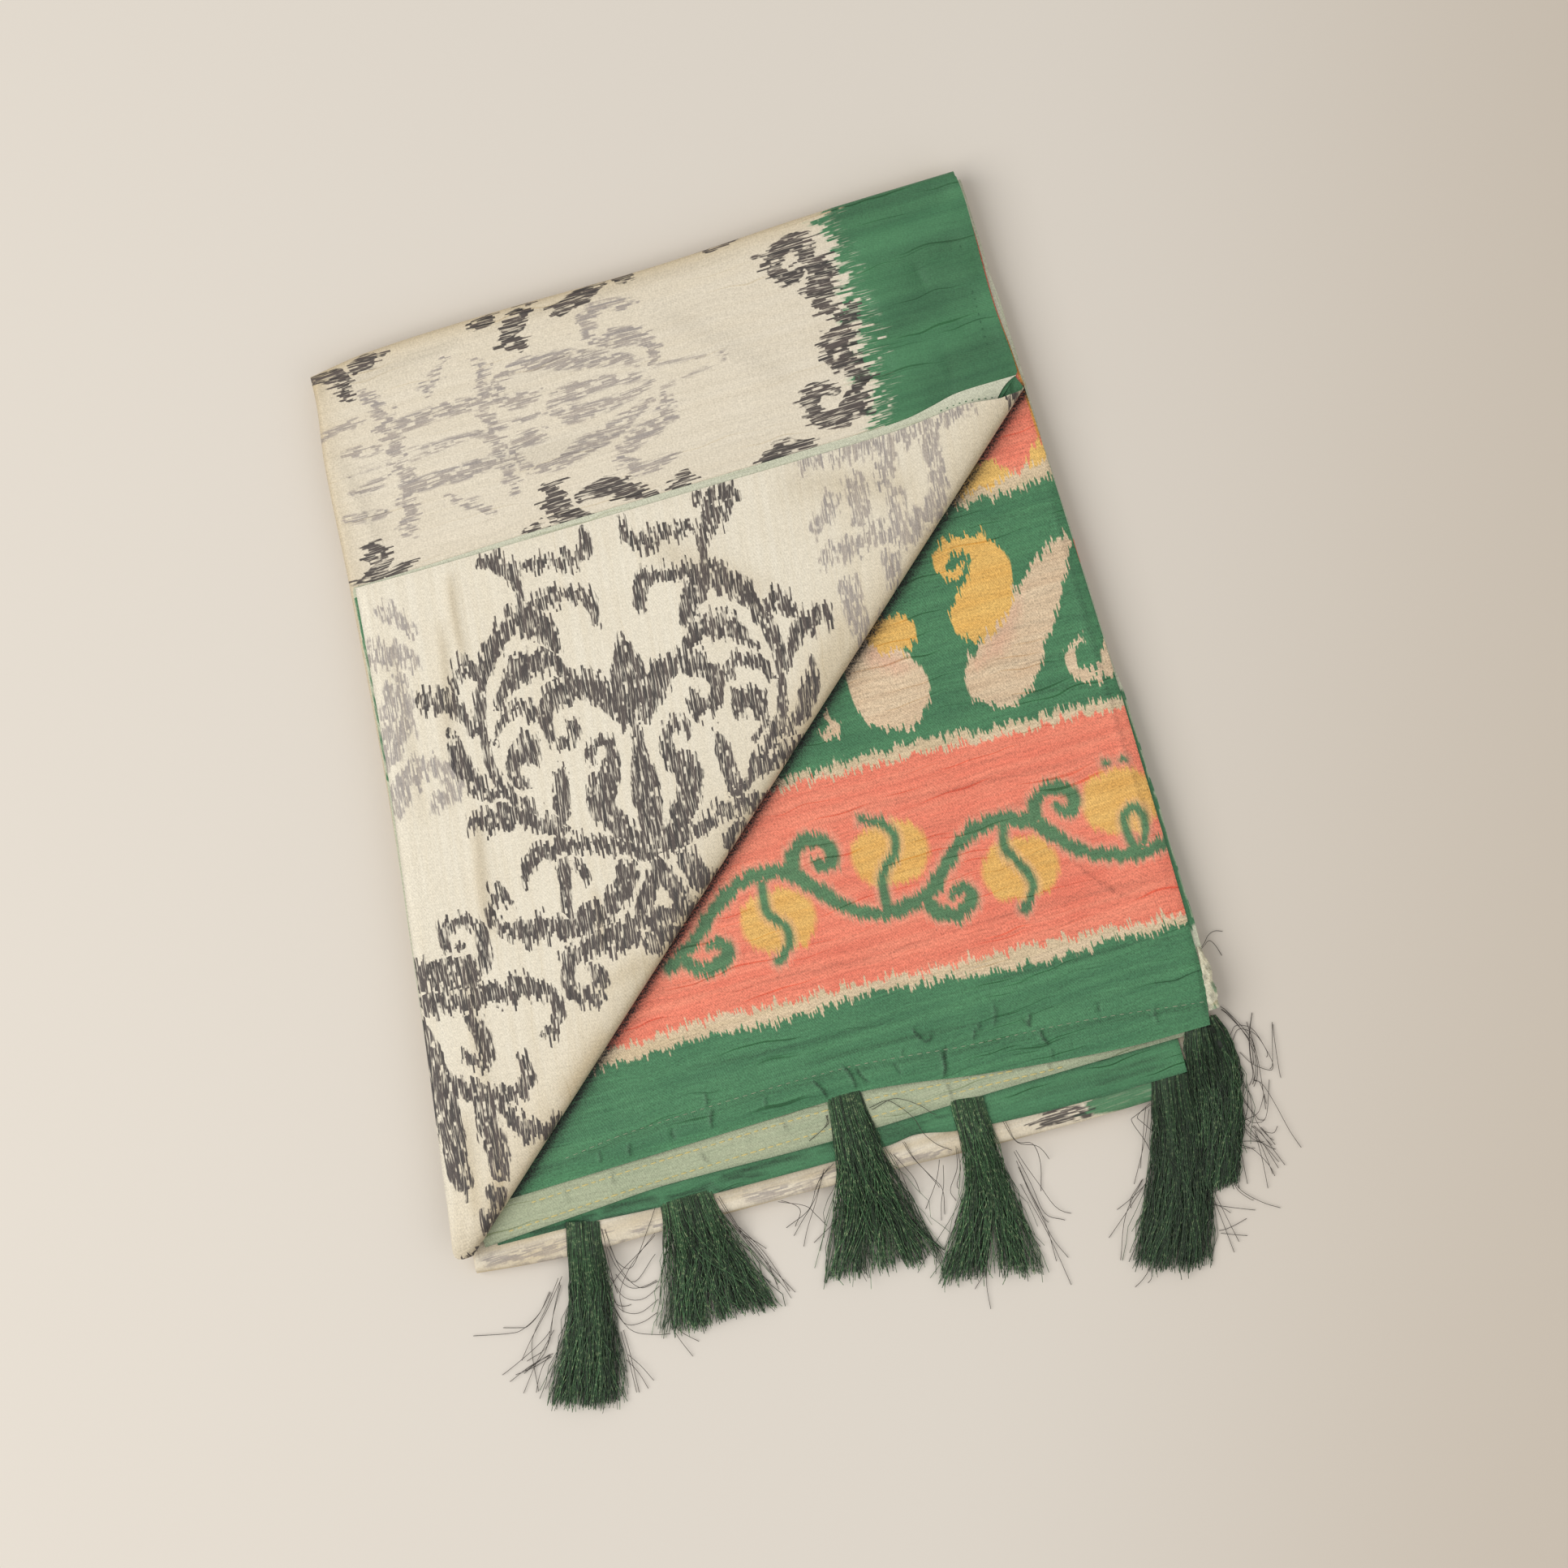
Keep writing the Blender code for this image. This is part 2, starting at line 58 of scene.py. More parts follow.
Object = bpy.types.Object
Material = bpy.types.Material
Socket = bpy.types.NodeSocket

LOG = logging.getLogger("saree")
MM = 0.001

# The cloth that shows, the CAD's ply and the usual cell of a mesh
WALL = 0.45
PLY = 1.0
CELL = 1.2

# The plies' top faces from the lowest to the highest, and the lines that two plies are tucked in behind
LEDGE = 8.4
LOWER_HEM_TOP = 9.7
STACK_TOP = 11.0
PANEL_TOP = 12.3
BODY_TOP = 13.6
UNDER_PLY_TOP = 14.9
FLAP_TOP = 16.2
HEM_TUCK_Y = -148.0
SIDE_TUCK_X = 134.0

# How far outside its outline a motif is followed, and how far a band of colour is on each side of its line
FIELD_OUT = 12.0
BAND_IN, BAND_OUT = -12.0, 24.0


def linear(code: str) -> Colour:
    """Turns a screen colour into the renderer's own.

    Args:
        code: Six hexadecimal digits after a hash sign.

    Returns:
        The linear red, green and blue.
    """
    parts = [int(code[k:k + 2], 16) / 255 for k in (1, 3, 5)]
    red, green, blue = (c / 12.92 if c <= 0.04045 else ((c + 0.055) / 1.055) ** 2.4 for c in parts)
    return red, green, blue


class Dye(Enum):
    """The print's and the threads' colours."""

    CREAM = linear("#E9DFCB")
    # The same cream made lighter for the turned-back corner: painted light.
    CREAM_LIT = linear("#F0E8D5")
    CREAM_SHADE = linear("#CCB892")
    CREAM_PALE = linear("#E6DFCF")
    DARK = linear("#2A262A")
    DARK_BROWN = linear("#524745")
    FADED = linear("#766F78")
    FADED_BROWN = linear("#9B8F8A")
    GREEN = linear("#50895F")
    GREEN_DEEP = linear("#3C704E")
    GREEN_PALE = linear("#8FB291")
    CORAL = linear("#F79276")
    CORAL_DEEP = linear("#EB765E")
    YELLOW = linear("#EDC06C")
    YELLOW_DEEP = linear("#E4AC54")
    BEIGE = linear("#E3CCAC")
    BEIGE_DEEP = linear("#D5B694")
    PINK = linear("#E3A98E")
    MINT = linear("#B5BC9D")
    MINT_SHADE = linear("#99A789")
    MINT_PALE = linear("#D5D6C0")
    STITCH = linear("#DCCB86")
    STITCH_DULL = linear("#A6A870")
    ORANGE = linear("#D9913F")
    THREAD = linear("#1B291A")
    THREAD_LIGHT = linear("#558654")
    THREAD_GLINT = linear("#AABD8C")
    THREAD_BROWN = linear("#463C36")


def ease(t: Array) -> Array:
    """0 to 1, level at both ends."""
    t = np.clip(t, 0.0, 1.0)
    return t * t * (3 - 2 * t)


def mixed(low: Array, high: Array, share: Array) -> Array:
    """The value a share of the way from low to high."""
    return low + (high - low) * share


def fading(gap: Array, reach: float) -> Array:
    """1 up to a line, and beyond it less with the gap: divided by e for each reach."""
    return np.exp(-np.clip(gap, 0, None) / reach)


def waning(gap: Array, reach: float) -> Array:
    """1 up to a line and 0 from a reach beyond it, level at both."""
    return 1 - ease(gap / reach)


class Curve:
    """A smooth line through a table of stations and values, level beyond its ends."""

    def __init__(self, *rows: Point) -> None:
        """Keeps the table.

        Args:
            rows: A station and its value, in rising order of station.
        """
        self.at, self.value = (np.array(column, float) for column in zip(*rows))

    def __call__(self, station: Array) -> Array:
        """Reads the line.

        Args:
            station: One station or an array of them.

        Returns:
            The value at each, on a cubic through the rows.
        """
        at, value = self.at, self.value
        held = np.clip(station, at[0], at[-1])
        low = np.clip(np.searchsorted(at, held, side="right") - 1, 0, len(at) - 2)
        high = low + 1
        before, after = np.maximum(low - 1, 0), np.minimum(high + 1, len(at) - 1)
        span = at[high] - at[low]
        t = (held - at[low]) / span
        slope_in = (value[high] - value[before]) / (at[high] - at[before]) * span
        slope_out = (value[after] - value[low]) / (at[after] - at[low]) * span
        return (
            value[low] * (2 * t**3 - 3 * t**2 + 1)
            + value[high] * (3 * t**2 - 2 * t**3)
            + slope_in * (t**3 - 2 * t**2 + t)
            + slope_out * (t**3 - t**2)
        )


# Outlines seen from above. Sides give x at a station y, and hems give y at a station x.
STACK_LEFT = Curve((-188, -165.8), (-176, -164.5), (-150, -162.0), (-110, -157.8), (-60, -151.6),
                   (13, -142.6), (92, -134.4), (180, -125.4))
STACK_RIGHT = Curve((-198, 117), (-190, 131), (-177, 143), (-150, 146.6), (-107, 147.4), (60, 146.4),
                    (185, 144.2))
STACK_BOTTOM = Curve((-166, -186.6), (-131, -190.6), (-60, -192.3), (8, -194.5), (75, -197.2),
                     (118, -197.4))
TOP_FOLD = Curve((-127, 178.2), (-102, 181.4), (-50, 182.5), (17, 181.8), (86, 184.0), (145, 184.4))
BODY_LEFT = Curve((-178, -171.0), (-151, -167.0), (-110, -160.5), (-60, -153.0), (13, -143.3),
                  (92, -135.0), (143, -130.6), (166, -127.0), (180, -126.0))
BODY_RIGHT = Curve((90, 146.0), (103, 146.9), (130, 145.4), (168, 146.2), (185, 144.6))
PANEL_RIGHT = Curve((-175, 146.8), (-161, 146.8), (-142, 149.6), (-60, 150.2), (0, 149.6), (64, 148.6),
                    (108, 147.6), (182, 145.8))
SIDE_RIGHT = Curve((-168, 152.6), (-141, 152.6), (-60, 151.9), (0, 151.0), (64, 149.9), (108, 148.9),
                   (150, 147.7), (181, 147.1))
PANEL_HEM = Curve((-162, -161.2), (-118, -160.8), (-10, -159.8), (5, -159.8), (24, -162.0), (50, -166.3),
                  (83, -170.3), (116, -173.2), (147, -173.8))
REVERSE_HEM = Curve((-160, -177.2), (-109, -174.7), (-81, -173.6), (-14, -175.6), (64, -175.1),
                    (146, -175.4))
LOWER_HEM = Curve((-160, -177.6), (-112, -179.6), (-84, -181.7), (-40, -183.2), (9, -183.9),
                  (21, -182.8), (37, -186.0), (77, -189.0), (133, -189.6))
REVERSE_HEM_ENDS = (-158.0, 142.5)
LOWER_HEM_ENDS = (-153.0, 132.8)
SIDE_ENDS = (-168.0, 180.5)
FLAP_EDGE = Curve((-134, 91.6), (-105, 90.9), (0, 90.4), (92, 90.3), (112, 92.0), (123, 92.8),
                  (136.6, 90.9), (141.2, 91.2), (148.3, 90.4), (155.3, 86.8), (162, 83.4))
STRIP_EDGE = Curve((-134, 92.0), (-105, 92.2), (0, 92.4), (80, 93.0), (99, 94.0), (110, 96.0),
                   (121, 98.2), (145, 98.4))
FLAP_LEFT_INSET = Curve((-178, 0.3), (-60, 0.6), (20, 1.9), (92, 2.8))
UNDER_LEFT_INSET = Curve((-178, 1.0), (-60, 0.2), (20, 0.9), (92, 1.4))


class Crease(NamedTuple):
    """A soft ridge along a line between two plan points, or a trough where its lift is negative."""

    x0: float
    y0: float
    x1: float
    y1: float
    width: float
    lift: float


def creased(*rows: tuple[float, ...]) -> tuple[Crease, ...]:
    """Names the columns of a table of creases."""
    return tuple(Crease(*row) for row in rows)


def relief(x: Array, y: Array, creases: Sequence[Crease]) -> Array:
    """How much a set of creases lifts each plan point; they bow to one side and the other in turn.

    Args:
        x: Plan x of the points.
        y: Plan y of the points.
        creases: The ridges and troughs.

    Returns:
        The lift at each point.
    """
    total = np.zeros_like(x)
    bow_share, most_bow = 0.08, 1.1
    for turn, crease in enumerate(creases):
        dx, dy = crease.x1 - crease.x0, crease.y1 - crease.y0
        length = math.hypot(dx, dy)
        share = np.clip(((x - crease.x0) * dx + (y - crease.y0) * dy) / length**2, 0, 1)
        bow = min(bow_share * length, most_bow) * (1 if turn % 2 else -1) * np.sin(math.pi * share) / length
        away = np.hypot(x - crease.x0 - dx * share + dy * bow, y - crease.y0 - dy * share - dx * bow)
        tapered = crease.lift * (1 - (2 * share - 1) ** 4)
        total += tapered * np.exp(-0.5 * (away / crease.width) ** 2)
    return total


def crease_shade(x: Array, y: Array, creases: Sequence[Crease]) -> Array:
    """Painted shade in and beside sharp creases: how much darker the cloth is made there, at plan points."""
    sharp = [crease._replace(width=max(crease.width * 0.6, 0.45), lift=abs(crease.lift))
             for crease in creases]
    return np.clip(relief(x, y, sharp), 0, 1)


def bed(x: Array, y: Array) -> Array:
    """The slow rise and fall that every ply above the stack shares, at plan points."""
    long_wave = np.sin(0.0213 * x + 0.0117 * y + 1.1) * np.sin(0.0171 * y - 0.0093 * x + 0.4)
    return 0.34 * long_wave + 0.16 * (np.sin(0.049 * x - 0.031 * y + 2.0) * np.sin(0.043 * y + 0.021 * x))


def spine(marks: Stroke, steps: int = 4) -> Array:
    """A smooth run through a stroke's marks.

    Args:
        marks: Plan x, plan y and half width of each mark.
        steps: How many points follow each mark.

    Returns:
        An array of x, y and half width.
    """
    rows = np.array(marks, float)
    padded = np.vstack([2 * rows[0] - rows[1], rows, 2 * rows[-1] - rows[-2]])
    points = []
    for k in range(len(rows) - 1):
        p0, p1, p2, p3 = padded[k:k + 4]
        for t in np.arange(steps) / steps:
            points.append(0.5 * (2 * p1 + (p2 - p0) * t + (2 * p0 - 5 * p1 + 4 * p2 - p3) * t**2
                                 + (3 * p1 - p0 - 3 * p2 + p3) * t**3))
    points.append(rows[-1])
    line = np.array(points)
    line[:, 2] = np.maximum(line[:, 2], 0.3)
    return line


class Threads(Enum):
    """Which way a print's dyed threads run."""

    ALONG_X = 0
    ALONG_Y = 1


def drawn(x: Array, y: Array, strokes: Sequence[Stroke], threads: Threads) -> tuple[Array, Array, Array]:
    """Follows a brushed motif.

    Args:
        x: Chart x of the points.
        y: Chart y of the points.
        strokes: The motif's strokes.
        threads: Which way the dyed threads run on the chart.

    Returns:
        How far outside the nearest stroke each point lies, negative inside; how fast that grows along
        the threads, from -1 to 1; and the stroke's half width there.
    """
    away = np.full(x.shape, FIELD_OUT)
    lean = np.zeros(x.shape)
    half = np.ones(x.shape)
    for marks in strokes:
        line = spine(marks)
        pad = FIELD_OUT + line[:, 2].max()
        low, high = line.min(axis=0) - pad, line.max(axis=0) + pad
        near = np.nonzero((x > low[0]) & (x < high[0]) & (y > low[1]) & (y < high[1]))[0]
        if not near.size:
            continue
        px, py, best, tilt, wide = x[near], y[near], away[near], lean[near], half[near]
        for a, b in zip(line, line[1:]):
            dx, dy, grow = b - a
            share = np.clip(((px - a[0]) * dx + (py - a[1]) * dy) / max(dx * dx + dy * dy, 1e-9), 0, 1)
            ox, oy = px - a[0] - dx * share, py - a[1] - dy * share
            gap = np.hypot(ox, oy)
            reach = a[2] + grow * share
            distance = gap - reach
            closer = distance < best
            tilt = np.where(closer, (oy if threads is Threads.ALONG_Y else ox) / np.maximum(gap, 1e-6), tilt)
            wide = np.where(closer, reach, wide)
            best = np.where(closer, distance, best)
        away[near], lean[near], half[near] = best, tilt, wide
    return away, lean, half


def below(line: Curve, station: Array, value: Array) -> Array:
    """How far a value lies above a line at a station, held to the depth that a band is followed."""
    return np.clip(value - line(station), BAND_IN, BAND_OUT)


@dataclass(frozen=True)
class Plan:
    """Where the plan's zero lies in the row frame."""

    shift_x: float
    shift_y: float

    @classmethod
    def from_frame(cls) -> "Plan":
        """Finds the shift from the lower hem ply, whose left end and tuck are known."""
        low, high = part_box("hem_lower_ply")
        return cls(low.x / MM - LOWER_HEM_ENDS[0], high.y / MM - HEM_TUCK_Y)

    def metres(self, points: Array) -> Array:
        """Turns plan points into the row frame.

        Args:
            points: One x, y and z in each row.

        Returns:
            The same points in metres.
        """
        return (np.asarray(points, float) + (self.shift_x, self.shift_y, 0.0)) * MM


PLAN = Plan.from_frame()


def zipped(rows: Sequence[Array]) -> list[tuple[int, int, int]]:
    """Joins neighbouring rows of points with triangles that face up.

    Args:
        rows: The keys of each row, rising from left to right; the rows go away from the viewer.

    Returns:
        The triangles, by index into all rows one after another.
    """
    faces = []
    start = 0
    for lower, upper in zip(rows, rows[1:]):
        n, m = len(lower), len(upper)
        after = start + n
        keys_low, keys_up = lower.tolist(), upper.tolist()
        i = j = 0
        while i < n - 1 or j < m - 1:
            if j == m - 1 or (i < n - 1 and keys_low[i + 1] <= keys_up[j + 1]):
                faces.append((start + i, start + i + 1, after + j))
                i += 1
            else:
                faces.append((start + i, after + j + 1, after + j))
                j += 1
        start = after
    return faces


def linked(name: str, data: Any) -> Object:
    """Makes an object of a mesh, a light or a camera and puts it in the scene.

    Args:
        name: The object's name.
        data: What it shows.

    Returns:
        The object.
    """
    obj = bpy.data.objects.new(name, data)
    bpy.context.scene.collection.objects.link(obj)
    return obj


def shaped(name: str, points: Array, edges: Sequence[Any], faces: Sequence[Any],
           values: dict[str, Array]) -> bpy.types.Mesh:
    """Makes a mesh of plan points.

    Args:
        name: The mesh's name.
        points: One x, y and z in each row.
        edges: Its loose edges.
        faces: Its faces.
        values: Named numbers, one for each point.

    Returns:
        The mesh, in metres in the row frame.
    """
    mesh = bpy.data.meshes.new(name)
    mesh.from_pydata(PLAN.metres(points), edges, faces)
    for key, numbers in values.items():
        mesh.attributes.new(key, "FLOAT", "POINT").data.foreach_set("value", numbers.astype(np.float32))
    return mesh


def settle(obj: Object) -> None:
    """Turns an object's modifiers into plain geometry.

    Args:
        obj: The object, which keeps its name and loses its modifiers.
    """
    bpy.context.view_layer.update()
    graph = bpy.context.evaluated_depsgraph_get()
    mesh = bpy.data.meshes.new_from_object(obj.evaluated_get(graph), preserve_all_data_layers=True,
                                           depsgraph=graph)
    obj.modifiers.clear()
    old = obj.data
    obj.data = mesh
    bpy.data.meshes.remove(old)
    mesh.name = obj.name


def closed_tube(rings: Sequence[Array], inside_out: bool = False) -> Faces:
    """Joins rings of points into a closed form.

    Args:
        rings: The rings, each with as many points, anticlockwise seen from the last.
        inside_out: Whether they run clockwise instead.

    Returns:
        The faces, facing out, with one at each end.
    """
    n, last = len(rings[0]), len(rings) - 1
    faces: Faces = []
    for k in range(last):
        for i in range(n):
            j = (i + 1) % n
            faces.append((k * n + i, k * n + j, (k + 1) * n + j, (k + 1) * n + i))
    if inside_out:
        faces = [(a, d, c, b) for a, b, c, d in faces]
    ends = [tuple(range(n))[::-1], tuple(range(last * n, last * n + n))]
    return faces + ([end[::-1] for end in ends] if inside_out else ends)


def flat_row(x: Array, y: Array, z: Array) -> Array:
    """A row of a ply that lies flat, so that its print and its keys follow the plan."""
    y = np.broadcast_to(y, x.shape)
    return np.column_stack([x, y, z, x, y, x])


@dataclass
class Sheet:
    """A cloth surface under construction: its points, where they lie on the print, and its faces."""

    place: Array
    cloth: Array
    faces: Faces
    fields: dict[str, Array] = field(default_factory=dict)

    @classmethod
    def from_rows(cls, rows: Sequence[Array]) -> "Sheet":
        """Joins rows of plan points.

        Args:
            rows: Arrays of x, y, z, print x, print y and key.

        Returns:
            The sheet, with print coordinates kept.
        """
        points = np.vstack(rows)
        return cls(points[:, :3], points[:, 3:5], zipped([row[:, 5] for row in rows]))

    @property
    def plan(self) -> tuple[Array, Array]:
        """Plan x and y of every point."""
        return self.place[:, 0], self.place[:, 1]

    def print_field(self, name: str, x: Array, y: Array, strokes: Sequence[Stroke], threads: Threads) -> None:
        """Stores a motif's distance, lean and half width at every point.

        Args:
            name: The field's name.
            x: Chart x of the points.
            y: Chart y of the points.
            strokes: The motif's strokes.
            threads: Which way the dyed threads run on the chart.
        """
        parts = drawn(x, y, strokes, threads)
        for ending, values in zip(("", "_lean", "_half"), parts):
            self.fields[name + ending] = values

    def build(self, name: str, finishes: Sequence[Material], wall: float) -> Object:
        """Makes the closed cloth.

        Args:
            name: The object's name.
            finishes: The face's material, and the reverse's where it differs.
            wall: The cloth's thickness, taken downwards; 0 leaves the surface as it is.

        Returns:
            The object, with plain geometry and no modifiers.
        """
        mesh = shaped(name, self.place, [], self.faces, self.fields)
        corners = np.empty(len(mesh.loops), np.int32)
        mesh.loops.foreach_get("vertex_index", corners)
        uv = mesh.uv_layers.new(name="cloth")
        uv.data.foreach_set("uv", self.cloth[corners].astype(np.float32).ravel())
        for finish in finishes:
            mesh.materials.append(finish)
        obj = linked(name, mesh)
        if wall:
            thickness = obj.modifiers.new("thickness", "SOLIDIFY")
            thickness.thickness = wall * MM
            thickness.offset = -1.0
            thickness.material_offset = len(finishes) - 1
            settle(obj)
        obj.data.shade_smooth()
        obj.data.set_sharp_from_angle(angle=math.radians(55))
        return obj


class Tree:
    """Adds nodes to one node tree, joining each to its inputs."""

    def __init__(self, tree: bpy.types.NodeTree) -> None:
        """Keeps the tree."""
        self.tree = tree

    def join(self, value: Any, socket: Socket) -> None:
        """Links a socket, or sets a value on an input.

        Args:
            value: Another node's output, or a number, vector or colour.
            socket: The input that takes it.
        """
        if isinstance(value, Socket):
            self.tree.links.new(value, socket)
        elif socket.type == "RGBA" and len(value) == 3:
            socket.default_value = (*value, 1.0)
        else:
            socket.default_value = value

    def add(self, kind: str, values: dict[Any, Any] | None = None, **settings: Any) -> bpy.types.Node:
        """Adds a node.

        Args:
            kind: The node's type.
            values: Its inputs, by name or number.
            settings: Its own properties.

        Returns:
            The node.
        """
        node = self.tree.nodes.new(kind)
        for key, value in settings.items():
            setattr(node, key, value)
        for key, value in (values or {}).items():
            self.join(value, node.inputs[key])
        return node

    def math(self, operation: str, *values: Any) -> Socket:
        """Adds a sum of one to three values and gives its result."""
        return self.add("ShaderNodeMath", dict(enumerate(values)), operation=operation).outputs[0]

    def plus(self, first: Any, second: Any) -> Socket:
        """The sum of two values."""
        return self.math("ADD", first, second)

    def minus(self, first: Any, second: Any) -> Socket:
        """The first value less the second."""
        return self.math("SUBTRACT", first, second)

    def times(self, first: Any, second: Any) -> Socket:
        """The product of two values."""
        return self.math("MULTIPLY", first, second)

    def over(self, first: Any, second: Any) -> Socket:
        """The first value divided by the second."""
        return self.math("DIVIDE", first, second)

    def swing(self, value: Any, size: Any) -> Socket:
        """Turns a value from 0 to 1 into one as far below 0 as above it."""
        return self.times(self.minus(value, 0.5), size)

    def parts(self, where: Any) -> Any:
        """The three numbers of a vector."""
        return self.add("ShaderNodeSeparateXYZ", {0: where}).outputs

    def vector(self, x: Any, y: Any, z: Any) -> Socket:
        """A vector of three numbers."""
        return self.add("ShaderNodeCombineXYZ", {0: x, 1: y, 2: z}).outputs[0]

    def mix(self, share: Any, low: Any, high: Any, blend: str = "MIX") -> Socket:
        """Mixes two colours.

        Args:
            share: How much of the second shows.
            low: The first colour.
            high: The second colour.
            blend: How they meet.

        Returns:
            The mixed colour.
        """
        node = self.add("ShaderNodeMix", data_type="RGBA", blend_type=blend)
        for key, value in (("Factor_Float", share), ("A_Color", low), ("B_Color", high)):
            self.join(value, next(s for s in node.inputs if s.identifier == key))
        return next(s for s in node.outputs if s.identifier == "Result_Color")

    def noise(self, where: Any, scale: float = 1.0, detail: float = 0.0, rough: float = 0.5) -> Socket:
        """Adds a noise texture and gives its value, which runs from about 0 to 1."""
        values = {"Vector": where, "Scale": scale, "Detail": detail, "Roughness": rough}
        return self.add("ShaderNodeTexNoise", values).outputs["Fac"]

    def stretch(self, where: Any, across: Any, along: Any, slide: float) -> Socket:
        """Divides cloth coordinates by a thread's width and length; a slide sets two patterns apart."""
        parts = self.parts(where)
        return self.vector(self.over(parts[0], across), self.over(parts[1], along), slide)

    def attribute(self, name: str) -> Socket:
        """Reads a named value of the mesh."""
        return self.add("ShaderNodeAttribute", attribute_name=name).outputs["Fac"]

    def ramp(self, value: Any, low: Any, high: Any, first: float = 0.0, last: float = 1.0) -> Socket:
        """Goes from its first to its last number as a value goes from low to high, level at both ends."""
        values = {0: value, 1: low, 2: high, 3: first, 4: last}
        return self.add("ShaderNodeMapRange", values, interpolation_type="SMOOTHSTEP").outputs[0]

    def bump(self, strength: float, distance: float, height: Socket) -> Socket:
        """Adds a bump, its distance in millimetres, and gives its normal."""
        values = {"Strength": strength, "Distance": distance * MM, "Height": height}
        return self.add("ShaderNodeBump", values).outputs[0]


class Kind(Enum):
    """The two kinds of node group, each with the sockets that it puts out."""

    SHADER = ("ShaderNodeTree", "NodeSocketFloat")
    GEOMETRY = ("GeometryNodeTree", "NodeSocketGeometry")


class Group:
    """A node tree with named inputs and outputs: an effect that materials share, or a way to make shapes."""

    def __init__(self, name: str, inputs: dict[str, float | str], outputs: Sequence[str],
                 kind: Kind = Kind.SHADER) -> None:
        """Makes the group's sockets.

        Args:
            name: The group's name.
            inputs: Each input's number, or its kind of socket where it isn't one.
            outputs: The outputs' names.
            kind: The kind of group.
        """
        tree_kind, out_kind = kind.value
        self.tree = bpy.data.node_groups.new(name, tree_kind)
        sockets = self.tree.interface
        for key, value in inputs.items():
            number = isinstance(value, float)
            socket = sockets.new_socket(name=key, in_out="INPUT",
                                        socket_type="NodeSocket" + ("Float" if number else value))
            if number:
                socket.default_value = value
        for key in outputs:
            sockets.new_socket(name=key, in_out="OUTPUT", socket_type=out_kind)
        self.nodes = Tree(self.tree)
        self.source = self.nodes.add("NodeGroupInput").outputs
        self.sink = self.nodes.add("NodeGroupOutput").inputs

    def place(self, tree: Tree, **values: Any) -> Any:
        """Puts the group in a material.

        Args:
            tree: The material's tree.
            values: The group's inputs, with underscores for spaces.

        Returns:
            The group's outputs there.
        """
        node = tree.add("ShaderNodeGroup", node_tree=self.tree)
        for key, value in values.items():
            tree.join(value, node.inputs[key.replace("_", " ").capitalize()])
        return node.outputs

    def dress(self, geometry: Socket) -> None:
        """Ends a geometry group: its instances are realized and take the group's finish.

        Args:
            geometry: What the group has made.
        """
        real = self.nodes.add("GeometryNodeRealizeInstances", {"Geometry": geometry}).outputs[0]
        dressed = self.nodes.add("GeometryNodeSetMaterial",
                                 {"Geometry": real, "Material": self.source["Finish"]})
        self.nodes.join(dressed.outputs[0], self.sink["Geometry"])

    def grow(self, obj: Object, values: dict[str, Any]) -> None:
        """Runs a geometry group on an object and keeps the result as plain geometry.

        Args:
            obj: The object.
            values: The group's inputs, the finish among them.
        """
        modifier = obj.modifiers.new(self.tree.name, "NODES")
        modifier.node_group = self.tree
        for item in self.tree.interface.items_tree:
            if item.in_out == "INPUT" and item.name in values:
                modifier[item.identifier] = values[item.name]
        settle(obj)
        obj.data.shade_smooth()
        if not obj.data.materials:
            obj.data.materials.append(values["Finish"])


def thread_jitter_group() -> Group:
    """How far each dyed thread strays, where its dye skips, and the gaps between neighbours.

    Returns:
        The group.
    """
    group = Group("thread jitter", {"Coordinates": "Vector", "Thread": 0.8, "Length": 9.0, "Seed": 0.0},
                  ("Jitter", "Skips", "Between", "Shade"))
    g, source, sink = group.nodes, group.source, group.sink
    parts = g.parts(source["Coordinates"])
    sway = g.swing(g.noise(source["Coordinates"], 0.03), 3.0)
    across = g.over(g.plus(parts[0], sway), source["Thread"])
    along = g.over(parts[1], source["Length"])
    cells = g.add("ShaderNodeTexVoronoi", {"W": across, "Scale": 1.0, "Randomness": 1.0},
                  voronoi_dimensions="1D")
    thread = g.math("MULTIPLY_ADD", cells.outputs["W"], 7.31, g.times(source["Seed"], 17.3))
    own = g.add("ShaderNodeTexWhiteNoise", {"W": thread}, noise_dimensions="1D").outputs["Value"]

    def run(where: Any, stretch: float, slide: float, detail: float = 1.0) -> Socket:
        """Noise along the threads, read at a place across them."""
        return g.noise(g.vector(where, g.times(along, stretch), g.plus(source["Seed"], slide)), 1.0, detail)

    private = g.times(own, 800.0)
    fine = g.swing(run(private, 0.7, 0.0), 3.2)
    wide = g.swing(run(g.times(across, 0.14), 0.35, 5.0), 1.6)
    g.join(g.plus(fine, wide), sink["Jitter"])
    g.join(run(g.plus(private, 300.5), 1.6, 11.0), sink["Skips"])
    g.join(run(g.times(across, 1.5), 1.15, 23.0, 2.0), sink["Between"])
    g.join(own, sink["Shade"])
    return group


